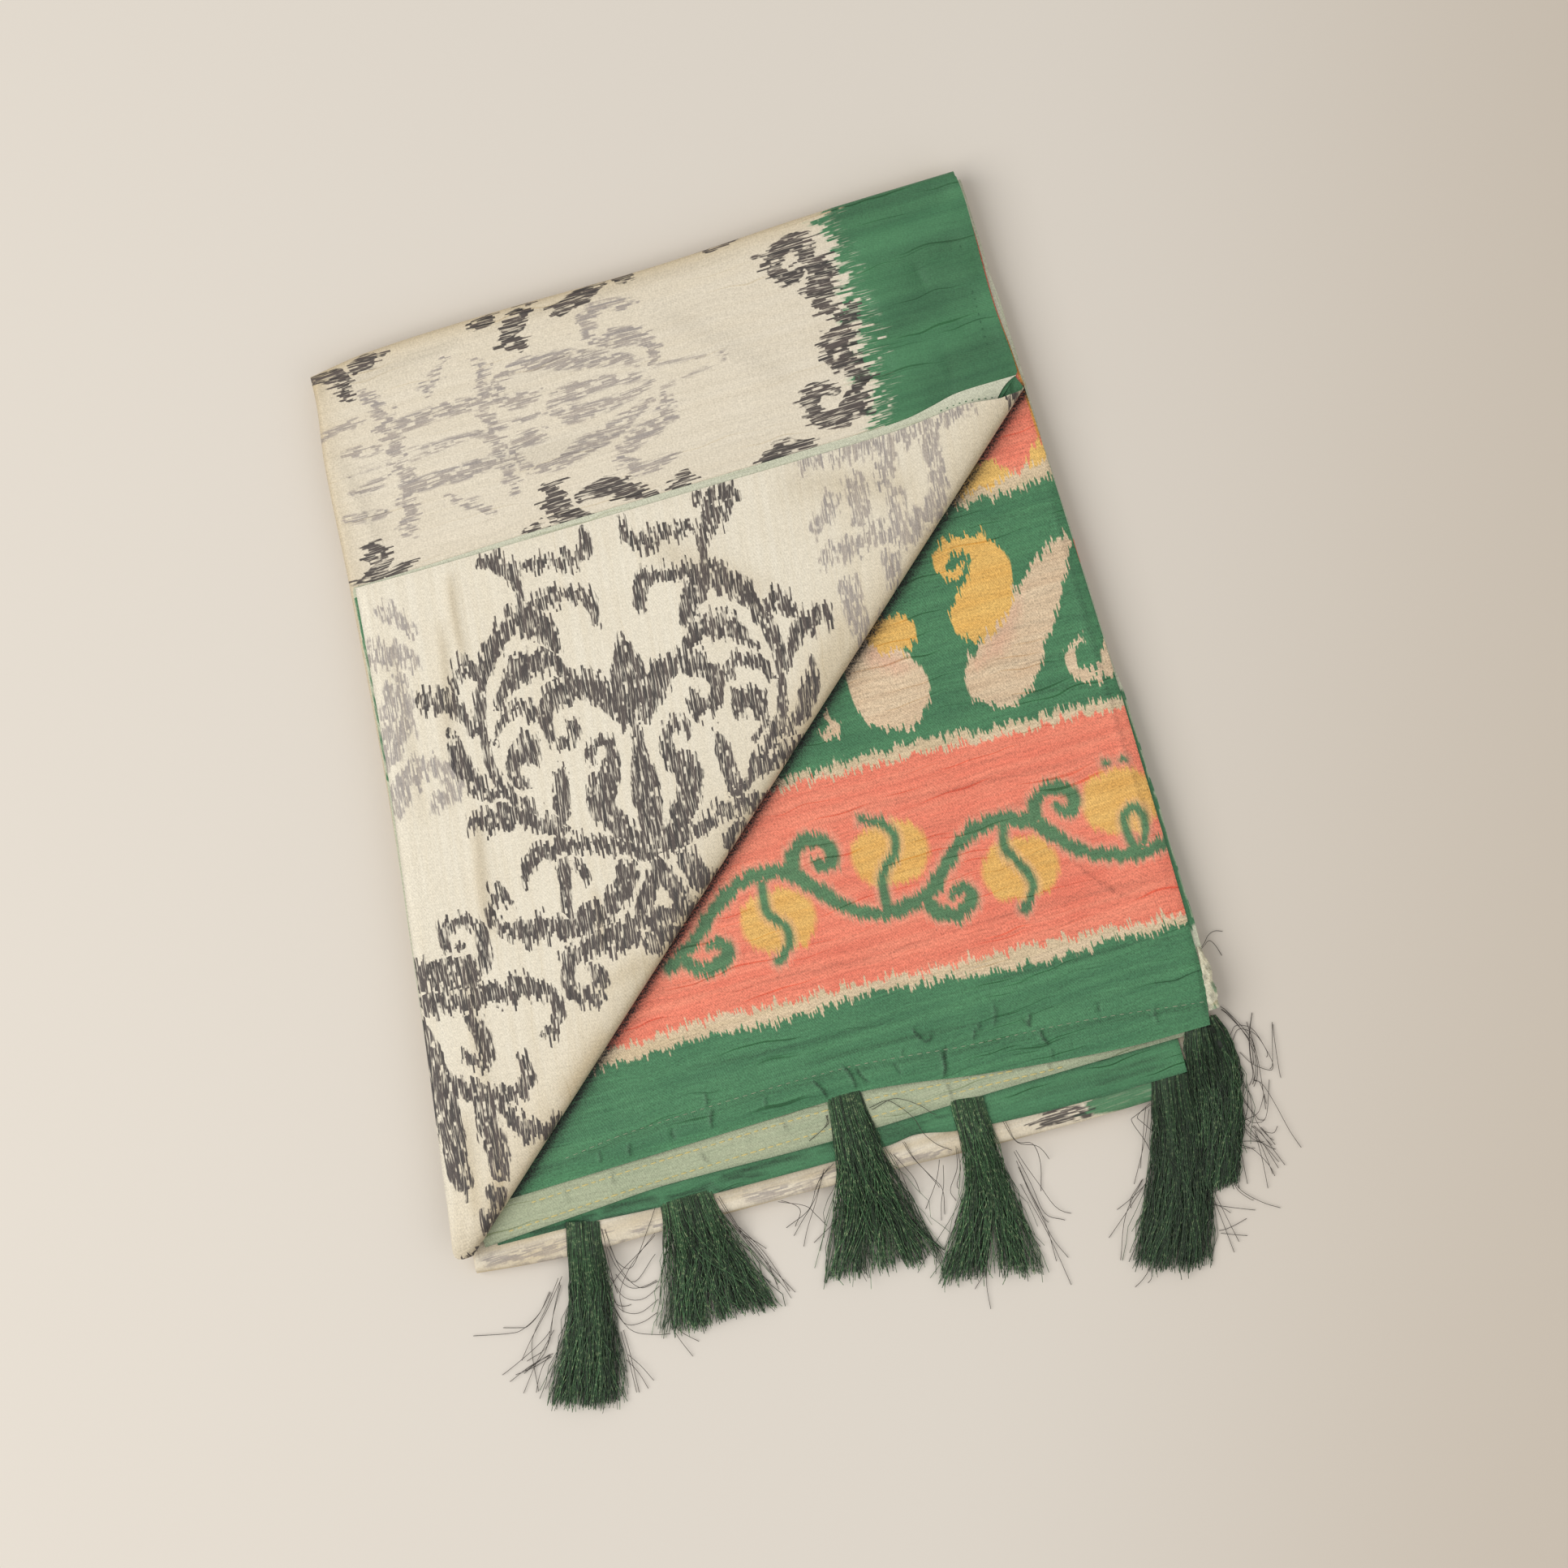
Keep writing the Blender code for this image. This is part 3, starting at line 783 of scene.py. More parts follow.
def dyed_edge_group() -> Group:
    """A printed shape whose edge feathers along the threads that cross it, its dye thin near the edge.

    Returns:
        The group.
    """
    group = Group("dyed edge", {"Distance": 0.0, "Lean": 1.0, "Half": 50.0, "Jitter": 0.0, "Reach": 3.0,
                                "Softness": 0.4, "Skips": 0.5, "Between": 0.0, "Dryness": 0.0,
                                "Openness": 0.3}, ("Mask",))
    g, source = group.nodes, group.source
    distance, lean, half, reach = (source[key] for key in ("Distance", "Lean", "Half", "Reach"))
    softness, skips, openness = (source[key] for key in ("Softness", "Skips", "Openness"))
    stray = g.times(g.times(source["Jitter"], reach), lean)
    moved = g.math("ABSOLUTE", g.plus(g.plus(distance, half), stray))
    ragged = g.swing(skips, g.times(reach, 0.7))
    frayed = g.times(ragged, g.math("MULTIPLY_ADD", g.math("ABSOLUTE", lean), 0.7, 0.3))
    edge = g.plus(g.minus(moved, half), frayed)
    inside = g.ramp(edge, g.times(softness, -1.0), softness, 1.0, 0.0)
    thin = g.times(g.ramp(distance, -3.0, 2.0), 0.07)
    dry = g.plus(g.plus(skips, source["Dryness"]), thin)
    skipped = g.times(g.ramp(dry, 0.56, 0.64), g.ramp(openness, 0.0, 0.4))
    gap = g.times(g.ramp(source["Between"], 0.52, 0.65), openness)
    kept = g.minus(1.0, g.math("MAXIMUM", skipped, gap))
    g.join(g.times(inside, kept), group.sink["Mask"])
    return group


def satin_grain_group() -> Group:
    """The weave: fine twill, single fibres, the slubs of the threads and the thin dark lines they leave.

    Returns:
        The group.
    """
    group = Group("satin grain", {"Coordinates": "Vector", "Pitch": 0.9, "Slub across": 0.8,
                                  "Slub along": 40.0, "Slub amount": 0.5}, ("Tone", "Lines", "Height"))
    g, source, sink = group.nodes, group.source, group.sink
    cloth, amount = source["Coordinates"], source["Slub amount"]
    bend = g.swing(g.noise(cloth, 0.045, 1.0), 7.0)
    bent = g.parts(g.add("ShaderNodeVectorMath", {0: cloth, 1: bend}, operation="ADD").outputs[0])
    slant = g.math("MULTIPLY_ADD", bent[1], 0.55, bent[0])
    twill = g.math("SINE", g.times(g.over(slant, source["Pitch"]), 2 * math.pi))
    u = g.over(bent[0], source["Slub across"])
    v = g.over(bent[1], source["Slub along"])
    slub = g.noise(g.vector(u, v, 2.0), 1.0, 2.0, 0.6)
    streak = g.noise(g.vector(u, v, 9.0), 0.8, 1.0)
    fibre = g.noise(g.stretch(cloth, 0.7, 0.75, 7.0), 1.0, 1.0)
    thick = g.noise(g.stretch(cloth, 2.2, 2.0, 4.0), 1.0, 1.0)
    uneven = g.swing(slub, amount)
    tone = g.plus(g.math("MULTIPLY_ADD", twill, 0.06, 0.5), g.times(uneven, 1.25))
    tone = g.plus(g.plus(tone, g.swing(fibre, 1.8)), g.swing(thick, 0.6))
    g.join(tone, sink["Tone"])
    g.join(g.times(g.ramp(streak, 0.66, 0.76), amount), sink["Lines"])
    height = g.plus(g.times(twill, 0.18), g.times(uneven, 1.6))
    g.join(g.plus(height, g.times(fibre, 0.6)), sink["Height"])
    return group


def round_threads_group() -> Group:
    """Paths to curves, curves to tubes as thick as their girth says, then realized and dressed.

    Returns:
        The group.
    """
    group = Group("round threads", {"Geometry": "Geometry", "Thread radius": 0.0002, "Sides": "Int",
                                    "Finish": "Material"}, ("Geometry",), Kind.GEOMETRY)
    g, source = group.nodes, group.source
    curves = g.add("GeometryNodeMeshToCurve", {"Mesh": source["Geometry"]}).outputs[0]
    girth = g.add("GeometryNodeInputNamedAttribute", {"Name": "girth"}, data_type="FLOAT").outputs[0]
    sized = g.add("GeometryNodeSetCurveRadius", {"Curve": curves, "Radius": girth}).outputs[0]
    ring = g.add("GeometryNodeCurvePrimitiveCircle",
                 {"Resolution": source["Sides"], "Radius": source["Thread radius"]}).outputs[0]
    tubes = g.add("GeometryNodeCurveToMesh", {"Curve": sized, "Profile Curve": ring, "Fill Caps": True})
    if "Scale" in tubes.inputs:
        g.join(g.add("GeometryNodeInputRadius").outputs[0], tubes.inputs["Scale"])
    group.dress(tubes.outputs[0])
    return group


def running_stitch_group() -> Group:
    """Paths to points at a spacing, a small uneven capsule on each, then realized and dressed.

    Returns:
        The group.
    """
    group = Group("running stitch", {"Geometry": "Geometry", "Spacing": 0.0036, "Stitch length": 0.0021,
                                     "Radius": 0.00017, "Seed": "Int", "Finish": "Material"},
                  ("Geometry",), Kind.GEOMETRY)
    g, source = group.nodes, group.source
    curves = g.add("GeometryNodeMeshToCurve", {"Mesh": source["Geometry"]}).outputs[0]
    points = g.add("GeometryNodeCurveToPoints", {"Curve": curves, "Length": source["Spacing"]}, mode="LENGTH")
    ball = g.add("GeometryNodeMeshUVSphere", {"Segments": 6, "Rings": 4, "Radius": 1.0}).outputs[0]
    size = g.vector(source["Radius"], source["Radius"], g.times(source["Stitch length"], 0.5))
    capsule = g.add("GeometryNodeTransform", {"Geometry": ball, "Scale": size}).outputs[0]
    uneven = g.add("FunctionNodeRandomValue", data_type="FLOAT_VECTOR")
    for key, value in (("Min", (0.8, 0.8, 0.72)), ("Max", (1.2, 1.2, 1.2)), ("Seed", source["Seed"])):
        g.join(value, next(s for s in uneven.inputs if s.name == key and s.enabled))
    placed = g.add("GeometryNodeInstanceOnPoints", {
        "Points": points.outputs["Points"], "Instance": capsule, "Rotation": points.outputs["Rotation"],
        "Scale": next(s for s in uneven.outputs if s.enabled)}).outputs[0]
    group.dress(placed)
    return group


JITTER = thread_jitter_group()
EDGE = dyed_edge_group()
GRAIN = satin_grain_group()
ROUND_THREADS = round_threads_group()
RUNNING_STITCH = running_stitch_group()


def new_finish(name: str) -> tuple[Material, Tree, Any]:
    """Starts a material.

    Args:
        name: Its name.

    Returns:
        The material, its tree and its shader's inputs.
    """
    made = bpy.data.materials.new(name)
    made.use_nodes = True
    return made, Tree(made.node_tree), made.node_tree.nodes["Principled BSDF"].inputs


class Print(NamedTuple):
    """One dyed motif: its field on the mesh, its colours and how its edge feathers."""

    field: str
    colour: Dye
    second: Dye
    reach: float
    softness: float
    cover: float = 1.0
    openness: float = 0.0
    dryness: float = -1.0
    leaning: bool = False
    grow: float = 0.0
    threaded: bool = False


@dataclass(frozen=True)
class PrintedSatin:
    """Satin with a resist-dyed print whose motifs feather along their threads."""

    name: str
    ground: Dye
    shade: Dye
    prints: tuple[Print, ...] = ()
    thread: float = 0.8
    length: float = 9.0
    slub_u: float = 0.8
    slub_v: float = 45.0
    slub_amount: float = 0.4
    mottling: float = 0.3
    grain: float = 0.42
    roughness: float = 0.52
    bump: float = 0.14
    seed: float = 0.0

    def material(self) -> Material:
        """Makes the material.

        Returns:
            The material, its ground dyed first and each motif over those before it.
        """
        made, t, shader = new_finish(self.name)
        cloth = t.add("ShaderNodeUVMap", uv_map="cloth").outputs[0]
        grain = GRAIN.place(t, coordinates=cloth, slub_across=self.slub_u, slub_along=self.slub_v,
                            slub_amount=self.slub_amount)
        threads = JITTER.place(t, coordinates=cloth, thread=self.thread, length=self.length, seed=self.seed)
        patches = t.ramp(t.noise(cloth, 0.035, 3.0, 0.6), 0.35, 0.7)
        bands = t.ramp(t.noise(t.stretch(cloth, self.slub_u * 4, self.slub_v * 4, 6.0), 1.0, 2.0), 0.3, 0.7)
        uneven = t.plus(t.times(patches, 0.4), t.times(bands, 0.6))
        colour = t.mix(t.times(uneven, self.mottling), self.ground.value, self.shade.value)
        # Painted shade: the 'fold' value mixes the ground towards its shade colour beside folds, edges and
        # creases; on the frayed corner it is a random tone.
        colour = t.mix(t.times(t.attribute("fold"), 0.8), colour, self.shade.value)
        for item in self.prints:
            lean = t.attribute(item.field + "_lean") if item.leaning else 1.0
            half = t.attribute(item.field + "_half") if item.leaning else 50.0
            distance = t.minus(t.attribute(item.field), item.grow)
            mask = EDGE.place(t, distance=distance, lean=lean, half=half, jitter=threads["Jitter"],
                              reach=item.reach, softness=item.softness, skips=threads["Skips"],
                              between=threads["Between"], dryness=item.dryness, openness=item.openness)[0]
            tint = t.mix(threads["Shade"] if item.threaded else t.times(uneven, 0.8),
                         item.colour.value, item.second.value)
            colour = t.mix(t.times(mask, item.cover), colour, tint)
        deeper = t.math("MULTIPLY_ADD", grain["Lines"], 0.55, 1.0)
        colour = t.add("ShaderNodeGamma", {0: colour, 1: deeper}).outputs[0]
        # The weave's slub lines darken the colour, and so does the 'crease' value: painted shade in creases,
        # along edges, under the hems and the roll, and in the sheen bands of the green selvedge.
        lines_and_painted_shade = t.plus(t.times(grain["Lines"], 0.05), t.times(t.attribute("crease"), 0.6))
        bright = t.minus(t.math("MULTIPLY_ADD", t.minus(grain["Tone"], 0.5), self.grain, 1.0), lines_and_painted_shade)
        colour = t.mix(1.0, colour, t.vector(bright, bright, bright), "MULTIPLY")
        t.join(colour, shader["Base Color"])
        t.join(t.math("MULTIPLY_ADD", grain["Tone"], -0.12, self.roughness + 0.06), shader["Roughness"])
        ripple = t.times(t.noise(t.stretch(cloth, 7.0, 16.0, 3.0), 1.0, 2.0), 2.2)
        t.join(t.bump(self.bump, 0.6, t.plus(grain["Height"], ripple)), shader["Normal"])
        shader["Specular IOR Level"].default_value = 0.4
        shader["Sheen Weight"].default_value = 0.08
        shader["Sheen Roughness"].default_value = 0.45
        return made


@dataclass(frozen=True)
class ThreadFinish:
    """Twisted thread: each strand has its own shade, and its twist glints here and there."""

    name: str
    dark: Dye
    light: Dye
    spark: Dye
    glint: float = 0.35
    roughness: float = 0.36

    def material(self) -> Material:
        """Makes the material.

        Returns:
            The material, which reads each strand's own shade.
        """
        made, t, shader = new_finish(self.name)
        where = t.add("ShaderNodeTexCoord").outputs["Object"]
        glints = t.noise(where, 700.0, 2.0, 0.7)
        strand = t.attribute("shade")
        body = t.mix(t.times(strand, t.ramp(glints, 0.15, 0.55)), self.dark.value, self.light.value)
        sparkle = t.times(t.ramp(glints, 0.54, 0.66), t.times(strand, self.glint))
        t.join(t.mix(sparkle, body, self.spark.value), shader["Base Color"])
        t.join(t.math("MULTIPLY_ADD", glints, 0.3, self.roughness - 0.15), shader["Roughness"])
        t.join(t.bump(0.3, 0.1, t.noise(where, 2600.0, 1.0)), shader["Normal"])
        shader["Sheen Weight"].default_value = 0.1
        return made


@dataclass(frozen=True)
class Backdrop:
    """The pale surface that the saree lies on, with painted shade: a little browner and darker to the right,
    where the light falls off.
    """

    colour: Colour = linear("#E6DFD5")
    cloud: Colour = linear("#D8CFC2")
    # Painted shade for where the light falls off.
    far: Colour = linear("#B8A48A")

    def material(self) -> Material:
        """Makes the material.

        Returns:
            The material.
        """
        made, t, shader = new_finish("pale surface")
        where = t.add("ShaderNodeTexCoord").outputs["Object"]
        cloudy = t.noise(where, 3.0, 2.0)
        parts = t.parts(where)
        away = t.minus(parts[0], t.times(parts[1], 0.35))
        tint = t.mix(t.times(cloudy, 0.12), self.colour, self.cloud)
        # Painted shade: the far colour shows more to the right and a little towards the bottom, where the
        # light falls off.
        tint = t.mix(t.times(t.ramp(away, 0.08, 0.4), 0.36), tint, self.far)
        t.join(tint, shader["Base Color"])
        t.join(t.math("MULTIPLY_ADD", cloudy, 0.1, 0.75), shader["Roughness"])
        shader["Specular IOR Level"].default_value = 0.2
        return made


# The large motif of the turned-back corner, on the corner's own chart: half of it, mirrored about u = 0
DAMASK_HALF: tuple[Stroke, ...] = (
    ((0, 6, 1), (0, 18, 4.2), (0, 32, 6.4), (0, 42, 5), (0, 52, 2.6), (0.5, 55, 2.2), (0, 62, 2.5)),
    ((0, 62, 3), (0, 72, 6), (0, 80, 7.5), (0, 88, 5), (0, 94, 1.2)),
    ((4, 62, 3), (9, 72, 5), (17, 79.5, 5.5), (26, 80, 5.5), (33, 76, 4), (35.5, 69, 3.2), (33, 62, 3),
     (28, 60, 3.6), (24.5, 63.5, 3.2), (25.5, 67, 2.2)),
    ((2.4, 8, 2.5), (8, 16, 4), (15.5, 25, 5), (18.5, 34, 6), (14, 42, 5), (11, 48, 3.2), (12, 54, 3),
     (16.5, 56, 3), (20, 53, 2.4), (19.5, 49, 1.6)),
    ((34, 27, 1.2), (34.5, 34, 3.4), (33, 42, 3.4), (31.5, 50, 0.8)),
    ((3, 8, 3), (14, 13, 3.6), (27, 18, 3.8), (38, 19, 4.4), (47, 17.5, 4), (52, 11.5, 2.6), (53, 8, 1.6)),
    ((34, 26, 2), (40, 29, 3), (48, 33.5, 4.5), (59, 35.5, 5.2), (67, 35.5, 5), (69, 35, 4)),
    ((36, 24, 2.4), (45, 34, 3), (53, 43, 3), (58.5, 52, 2.4), (60.5, 63, 2), (61, 75, 2.4), (58.5, 88, 3.2),
     (53, 99, 4.4), (46, 108, 5.4), (38, 112, 5.5), (31, 107, 5.2), (27.5, 99, 3.6), (27, 95, 2)),
    ((38, 112, 3), (34, 115.5, 3), (23, 117, 3.4), (12, 116, 3.4), (9, 106, 2.4)),
    ((53, 79, 1.6), (49, 85, 2.6), (43, 91, 5), (35, 93, 6), (28, 90, 3.6), (25, 86, 2)),
    ((56, 66, 1), (54, 72, 2), (49, 76.5, 3), (43, 76.5, 3), (40, 72, 2)),
    ((46, 44, 1.4), (51, 50, 2.4), (49.5, 58, 4), (44, 62, 4.6), (42, 56, 3)),
    ((59, 66, 1.2), (65, 71, 1.6), (67.5, 78, 2.8), (73.5, 86, 4.4), (80, 87, 4.2), (83, 85, 2.4)),
    ((58, 44, 2), (64, 48, 4), (70, 56, 4.4), (73, 64, 3.2), (74, 71, 1.2)),
    ((60, 94, 3), (64, 98, 3.6), (68, 93, 3.4), (69, 89, 1.6)),
    ((30, -14, 5), (43, -12.5, 5.5), (52, -12.5, 5.5), (62, -9.5, 4.4), (68, -5, 3), (68.5, 1, 2.4),
     (63.5, 5.5, 2.4), (61, 2, 1.6)),
    ((16, -22, 6), (25, -22, 6), (34, -23, 5), (40.3, -26, 4), (42.6, -33, 3), (41, -40, 3.4),
     (34.5, -43, 4), (29.5, -38.5, 3.8), (31.5, -33, 3.2)),
    ((12, 3, 5), (17, -6, 5), (26, -12, 5), (35, -10.5, 4.5), (38.5, -5, 2.6), (37.7, 1, 2.6), (37.5, 9, 3),
     (35, 12, 2.2), (30.5, 8, 3), (29, 4, 2)),
    ((0, 3, 3), (4, -4, 3.6), (8, -12, 4)),
    ((0, -17, 5), (12, -18, 5)),
    ((0, -24, 6), (6, -27, 5)),
    ((50, 138, 3), (44, 135, 5), (39, 128, 3.6), (37.5, 120, 1.6), (38, 114, 2.2)),
    ((33, 132, 2.6), (25, 131.5, 3.4), (15, 130.5, 3.4), (9.5, 133, 3), (8, 139, 2.4)),
)
CORNER_SPRIG: tuple[Stroke, ...] = (
    ((-85.6, -22.8, 3), (-76.8, -22.9, 3), (-73.7, -14.8, 3.2), (-75.9, -6.3, 3.2), (-83.1, -1.2, 3.2),
     (-88.4, -6.3, 3), (-87.5, -11.8, 2.6), (-83.1, -12.7, 2)),
    ((-108, -19, 7), (-96, -21, 7.5), (-82, -23, 6)),
    ((-98, -32, 5), (-86, -33, 5), (-75, -33, 5), (-62, -33, 4.6), (-52, -38, 4), (-48, -45, 3),
     (-51, -52, 2.6), (-55.7, -53, 2)),
    ((-83, -40, 3.5), (-80, -48.7, 3.5), (-79.5, -56.8, 3.2), (-84.3, -59.3, 3), (-87.4, -55.9, 2.4)),
    ((-105.6, -41, 5.5), (-103.5, -51, 6), (-101, -60, 6), (-100, -73, 6), (-98, -84, 5.5), (-98, -90, 5),
     (-97.8, -99, 5), (-96.3, -106, 4)),
    ((-96.6, -63.6, 3.4), (-89.4, -68.7, 4), (-83.7, -71.8, 4), (-72.5, -74.2, 4), (-64.6, -69.8, 3.4),
     (-65.8, -60.7, 2)),
    ((-84, -74, 4), (-83, -85, 5), (-81, -94, 5), (-81.6, -103, 4)),
    ((-77.6, -78.4, 3.6), (-70.8, -86.1, 4), (-63.6, -91.2, 4), (-55, -87.7, 2.6)),
    ((-84, -111, 4.6), (-84, -115, 4)),
    ((-87.5, -121, 4.4), (-88, -125, 3.4)),
    ((-103, -132.5, 3.6), (-95.5, -133.5, 3.4)),
    ((-93, -137, 4), (-89, -139, 4)),
    ((39.8, 141, 4), (51.8, 143, 4)),
)
FADED_CORNER: tuple[Stroke, ...] = (
    ((116.5, 141, 4), (113, 134, 3)), ((102.5, 134, 5), (102.4, 122, 4)), ((91, 129, 4), (83.5, 121, 2.6)),
    ((117.6, 128, 4), (116.8, 114, 3.6)),
    ((134.4, 147, 4), (134.6, 124, 4), (128.6, 117, 4), (119, 110, 4)),
    ((85.8, 109, 3), (96, 112, 4), (107, 115, 4), (119, 110, 4), (124, 118, 3)),
    ((111.5, 103, 4), (111.2, 95, 3)), ((93, 95, 4.5), (94.2, 82, 4.6), (96, 73, 3.4)),
    ((83.5, 148, 4), (120, 150, 4), (150.5, 156, 3.6)), ((117, 149, 4), (117.3, 138, 3)),
    ((-93, 127, 3.5), (-83, 118, 2.6)), ((-99.5, 110.5, 5), (-85.5, 104.5, 4.4)),
    ((-92, 95, 6), (-94, 82, 7.4), (-100, 69, 6)),
    ((-101.4, 48.6, 4.4), (-89.5, 60.8, 5), (-79.7, 59.7, 5), (-75, 51.7, 4.6), (-83, 44.6, 3)),
    ((-108, 125, 2), (-106, 100, 2)),
    ((132, 118, 4), (136, 128, 3.4)), ((96, 60, 4), (103, 66, 4)), ((106, 82, 3.6), (112, 78, 3)),
)

# The faded spray of the upper layer: plan x, distance from its own axis, half width
SPRAY_AXIS = Curve((-180, 134.9), (180, 142.1))
FADED_SPRAY: tuple[Stroke, ...] = (
    ((35, 1.5, 1.6), (8, 5, 2)),
    ((9, 8, 3.5), (5, 17.5, 5), (-9, 21.5, 5), (-14, 29, 4.4), (-6, 34, 4), (4, 32, 3)),
    ((2, 8, 3), (-12, 14, 4.4), (-28, 18, 5), (-42, 21, 4), (-53, 18, 3.4), (-56, 11, 3), (-50, 8, 4.6),
     (-44, 8, 4)),
    ((4, 2, 2.4), (-14, 4.5, 4), (-30, 4, 5), (-37, 1, 2)),
    ((-36, 0, 2), (-50, 0, 2.4), (-62, 0, 3)),
    ((-62, 4, 4.5), (-61.5, 13, 4.6), (-60, 20, 4), (-59, 27, 3)),
    ((-66, 12, 4), (-78, 13, 4.6), (-90, 12.5, 4.4), (-101, 12.5, 4)),
    ((-101, 2, 4), (-101, 10, 5), (-103, 20, 4.6), (-106, 28, 4.4)),
    ((-64, 1.6, 1.8), (-74, 0.4, 2.4), (-98, 2.4, 1.8)),
    ((-104, 1, 1.6), (-122, 1, 1)),
    ((-112, 19, 3), (-120, 18.5, 3.4), (-129, 17, 3)),
    ((-108, 6, 2.6), (-115, 7.5, 3.4), (-123, 8, 2.4)),
    ((-84, 22, 3), (-77, 28, 3.4), (-72, 33, 2.2)),
)
UPPER_DARK: tuple[Stroke, ...] = (
    ((-108, 176.5, 3), (-101, 178, 4)),
    ((-127, 177, 1.6), (-120, 176, 3), (-114.5, 173, 4), (-115, 167.5, 3)),
    ((-57, 179.5, 2.4), (-50, 180, 3)),
    ((-34, 181, 2.4), (-40, 175.5, 4), (-45, 170, 4.4), (-41, 166.5, 3)),
    ((-4, 182, 2.6), (-13, 178.5, 4), (-24, 175.5, 2.4)),
    ((3, 180.5, 2), (9, 181.8, 2.6)),
    ((40, 182, 1.6), (50, 183.2, 2.6)),
    ((-44.6, 107, 4), (-46, 101, 5.5), (-42, 95, 4.4), (-34, 92, 2.4)),
    ((-61, 91, 2.4), (-55, 93.5, 3.4)),
    ((-35, 101.5, 2.6), (-25, 102, 4), (-17, 99, 4.6), (-9, 93, 3)),
    ((1, 93, 3), (6, 96, 4)),
    ((-122, 104, 4), (-121, 99, 4.6), (-125, 93, 3), (-131, 92, 2.4)),
    ((-119, 91.5, 2.6), (-111, 93.5, 2.8)),
    ((81, 173.5, 4.5), (72, 175, 3.6), (65.5, 171.5, 3.4), (65, 165, 3.4), (70, 161.5, 3), (75, 164, 2.4)),
    ((78, 172, 4), (82, 165, 5), (83, 158, 6), (78.5, 152, 4.4), (83.5, 144, 3.4)),
    ((90, 143, 3), (86, 136, 5), (80, 128.5, 6), (83, 121, 5), (86, 115, 4)),
    ((84, 114, 4), (82.5, 107, 5), (75, 102, 4.4), (66, 104.5, 4.4), (63, 111, 3.4), (67.5, 115.4, 3.4),
     (74, 113, 2.4)),
    ((59, 94.5, 3), (47, 96.5, 4.4), (39.5, 93, 3)),
)
GREEN_BORDER_X = Curve((91.5, 88), (107.4, 92.2), (127, 92.8), (153.7, 93.4), (183, 92))

# The end panel's fields, each from its own upper line down, and its motifs
PANEL_FIELDS: tuple[tuple[str, Dye, Dye, Curve], ...] = (
    ("yellow_start", Dye.YELLOW, Dye.YELLOW,
     Curve((126.5, 69.1), (130.3, 63.7), (134.7, 60.2), (139.2, 61), (143.3, 67.4), (148.5, 70.2))),
    ("pale_line_1", Dye.BEIGE, Dye.CREAM_SHADE, Curve((100, 58.0), (126, 59.5), (149, 62.5))),
    ("green_band", Dye.GREEN, Dye.GREEN_DEEP, Curve((100, 54.5), (128, 54.2), (149, 56.5))),
    ("pale_line_2", Dye.BEIGE, Dye.CREAM_SHADE,
     Curve((22.4, -30), (43.8, -30.9), (65.4, -30.9), (96.8, -34.7), (129, -35.6), (149.1, -37.2))),
    ("coral_band", Dye.CORAL, Dye.CORAL_DEEP,
     Curve((21.2, -33.8), (53.1, -35.9), (74.5, -36.8), (106.2, -39.7), (127.9, -39.6), (148.7, -42.5))),
    ("pale_line_3", Dye.BEIGE, Dye.CREAM_SHADE,
     Curve((-77.6, -115.2), (-45.9, -113.6), (-15.6, -116.4), (15.2, -117.7), (45.6, -120.5),
           (76.4, -121.8), (107, -123.9), (137.4, -126.6), (149.9, -126.4))),
    ("green_hem", Dye.GREEN, Dye.GREEN_DEEP,
     Curve((-79.3, -120.9), (-48.1, -120.8), (-17.7, -123.6), (13.8, -122.7), (44.1, -125.5),
           (74.3, -129), (105.1, -130.3), (136.3, -130.2), (149.9, -131.9))),
)
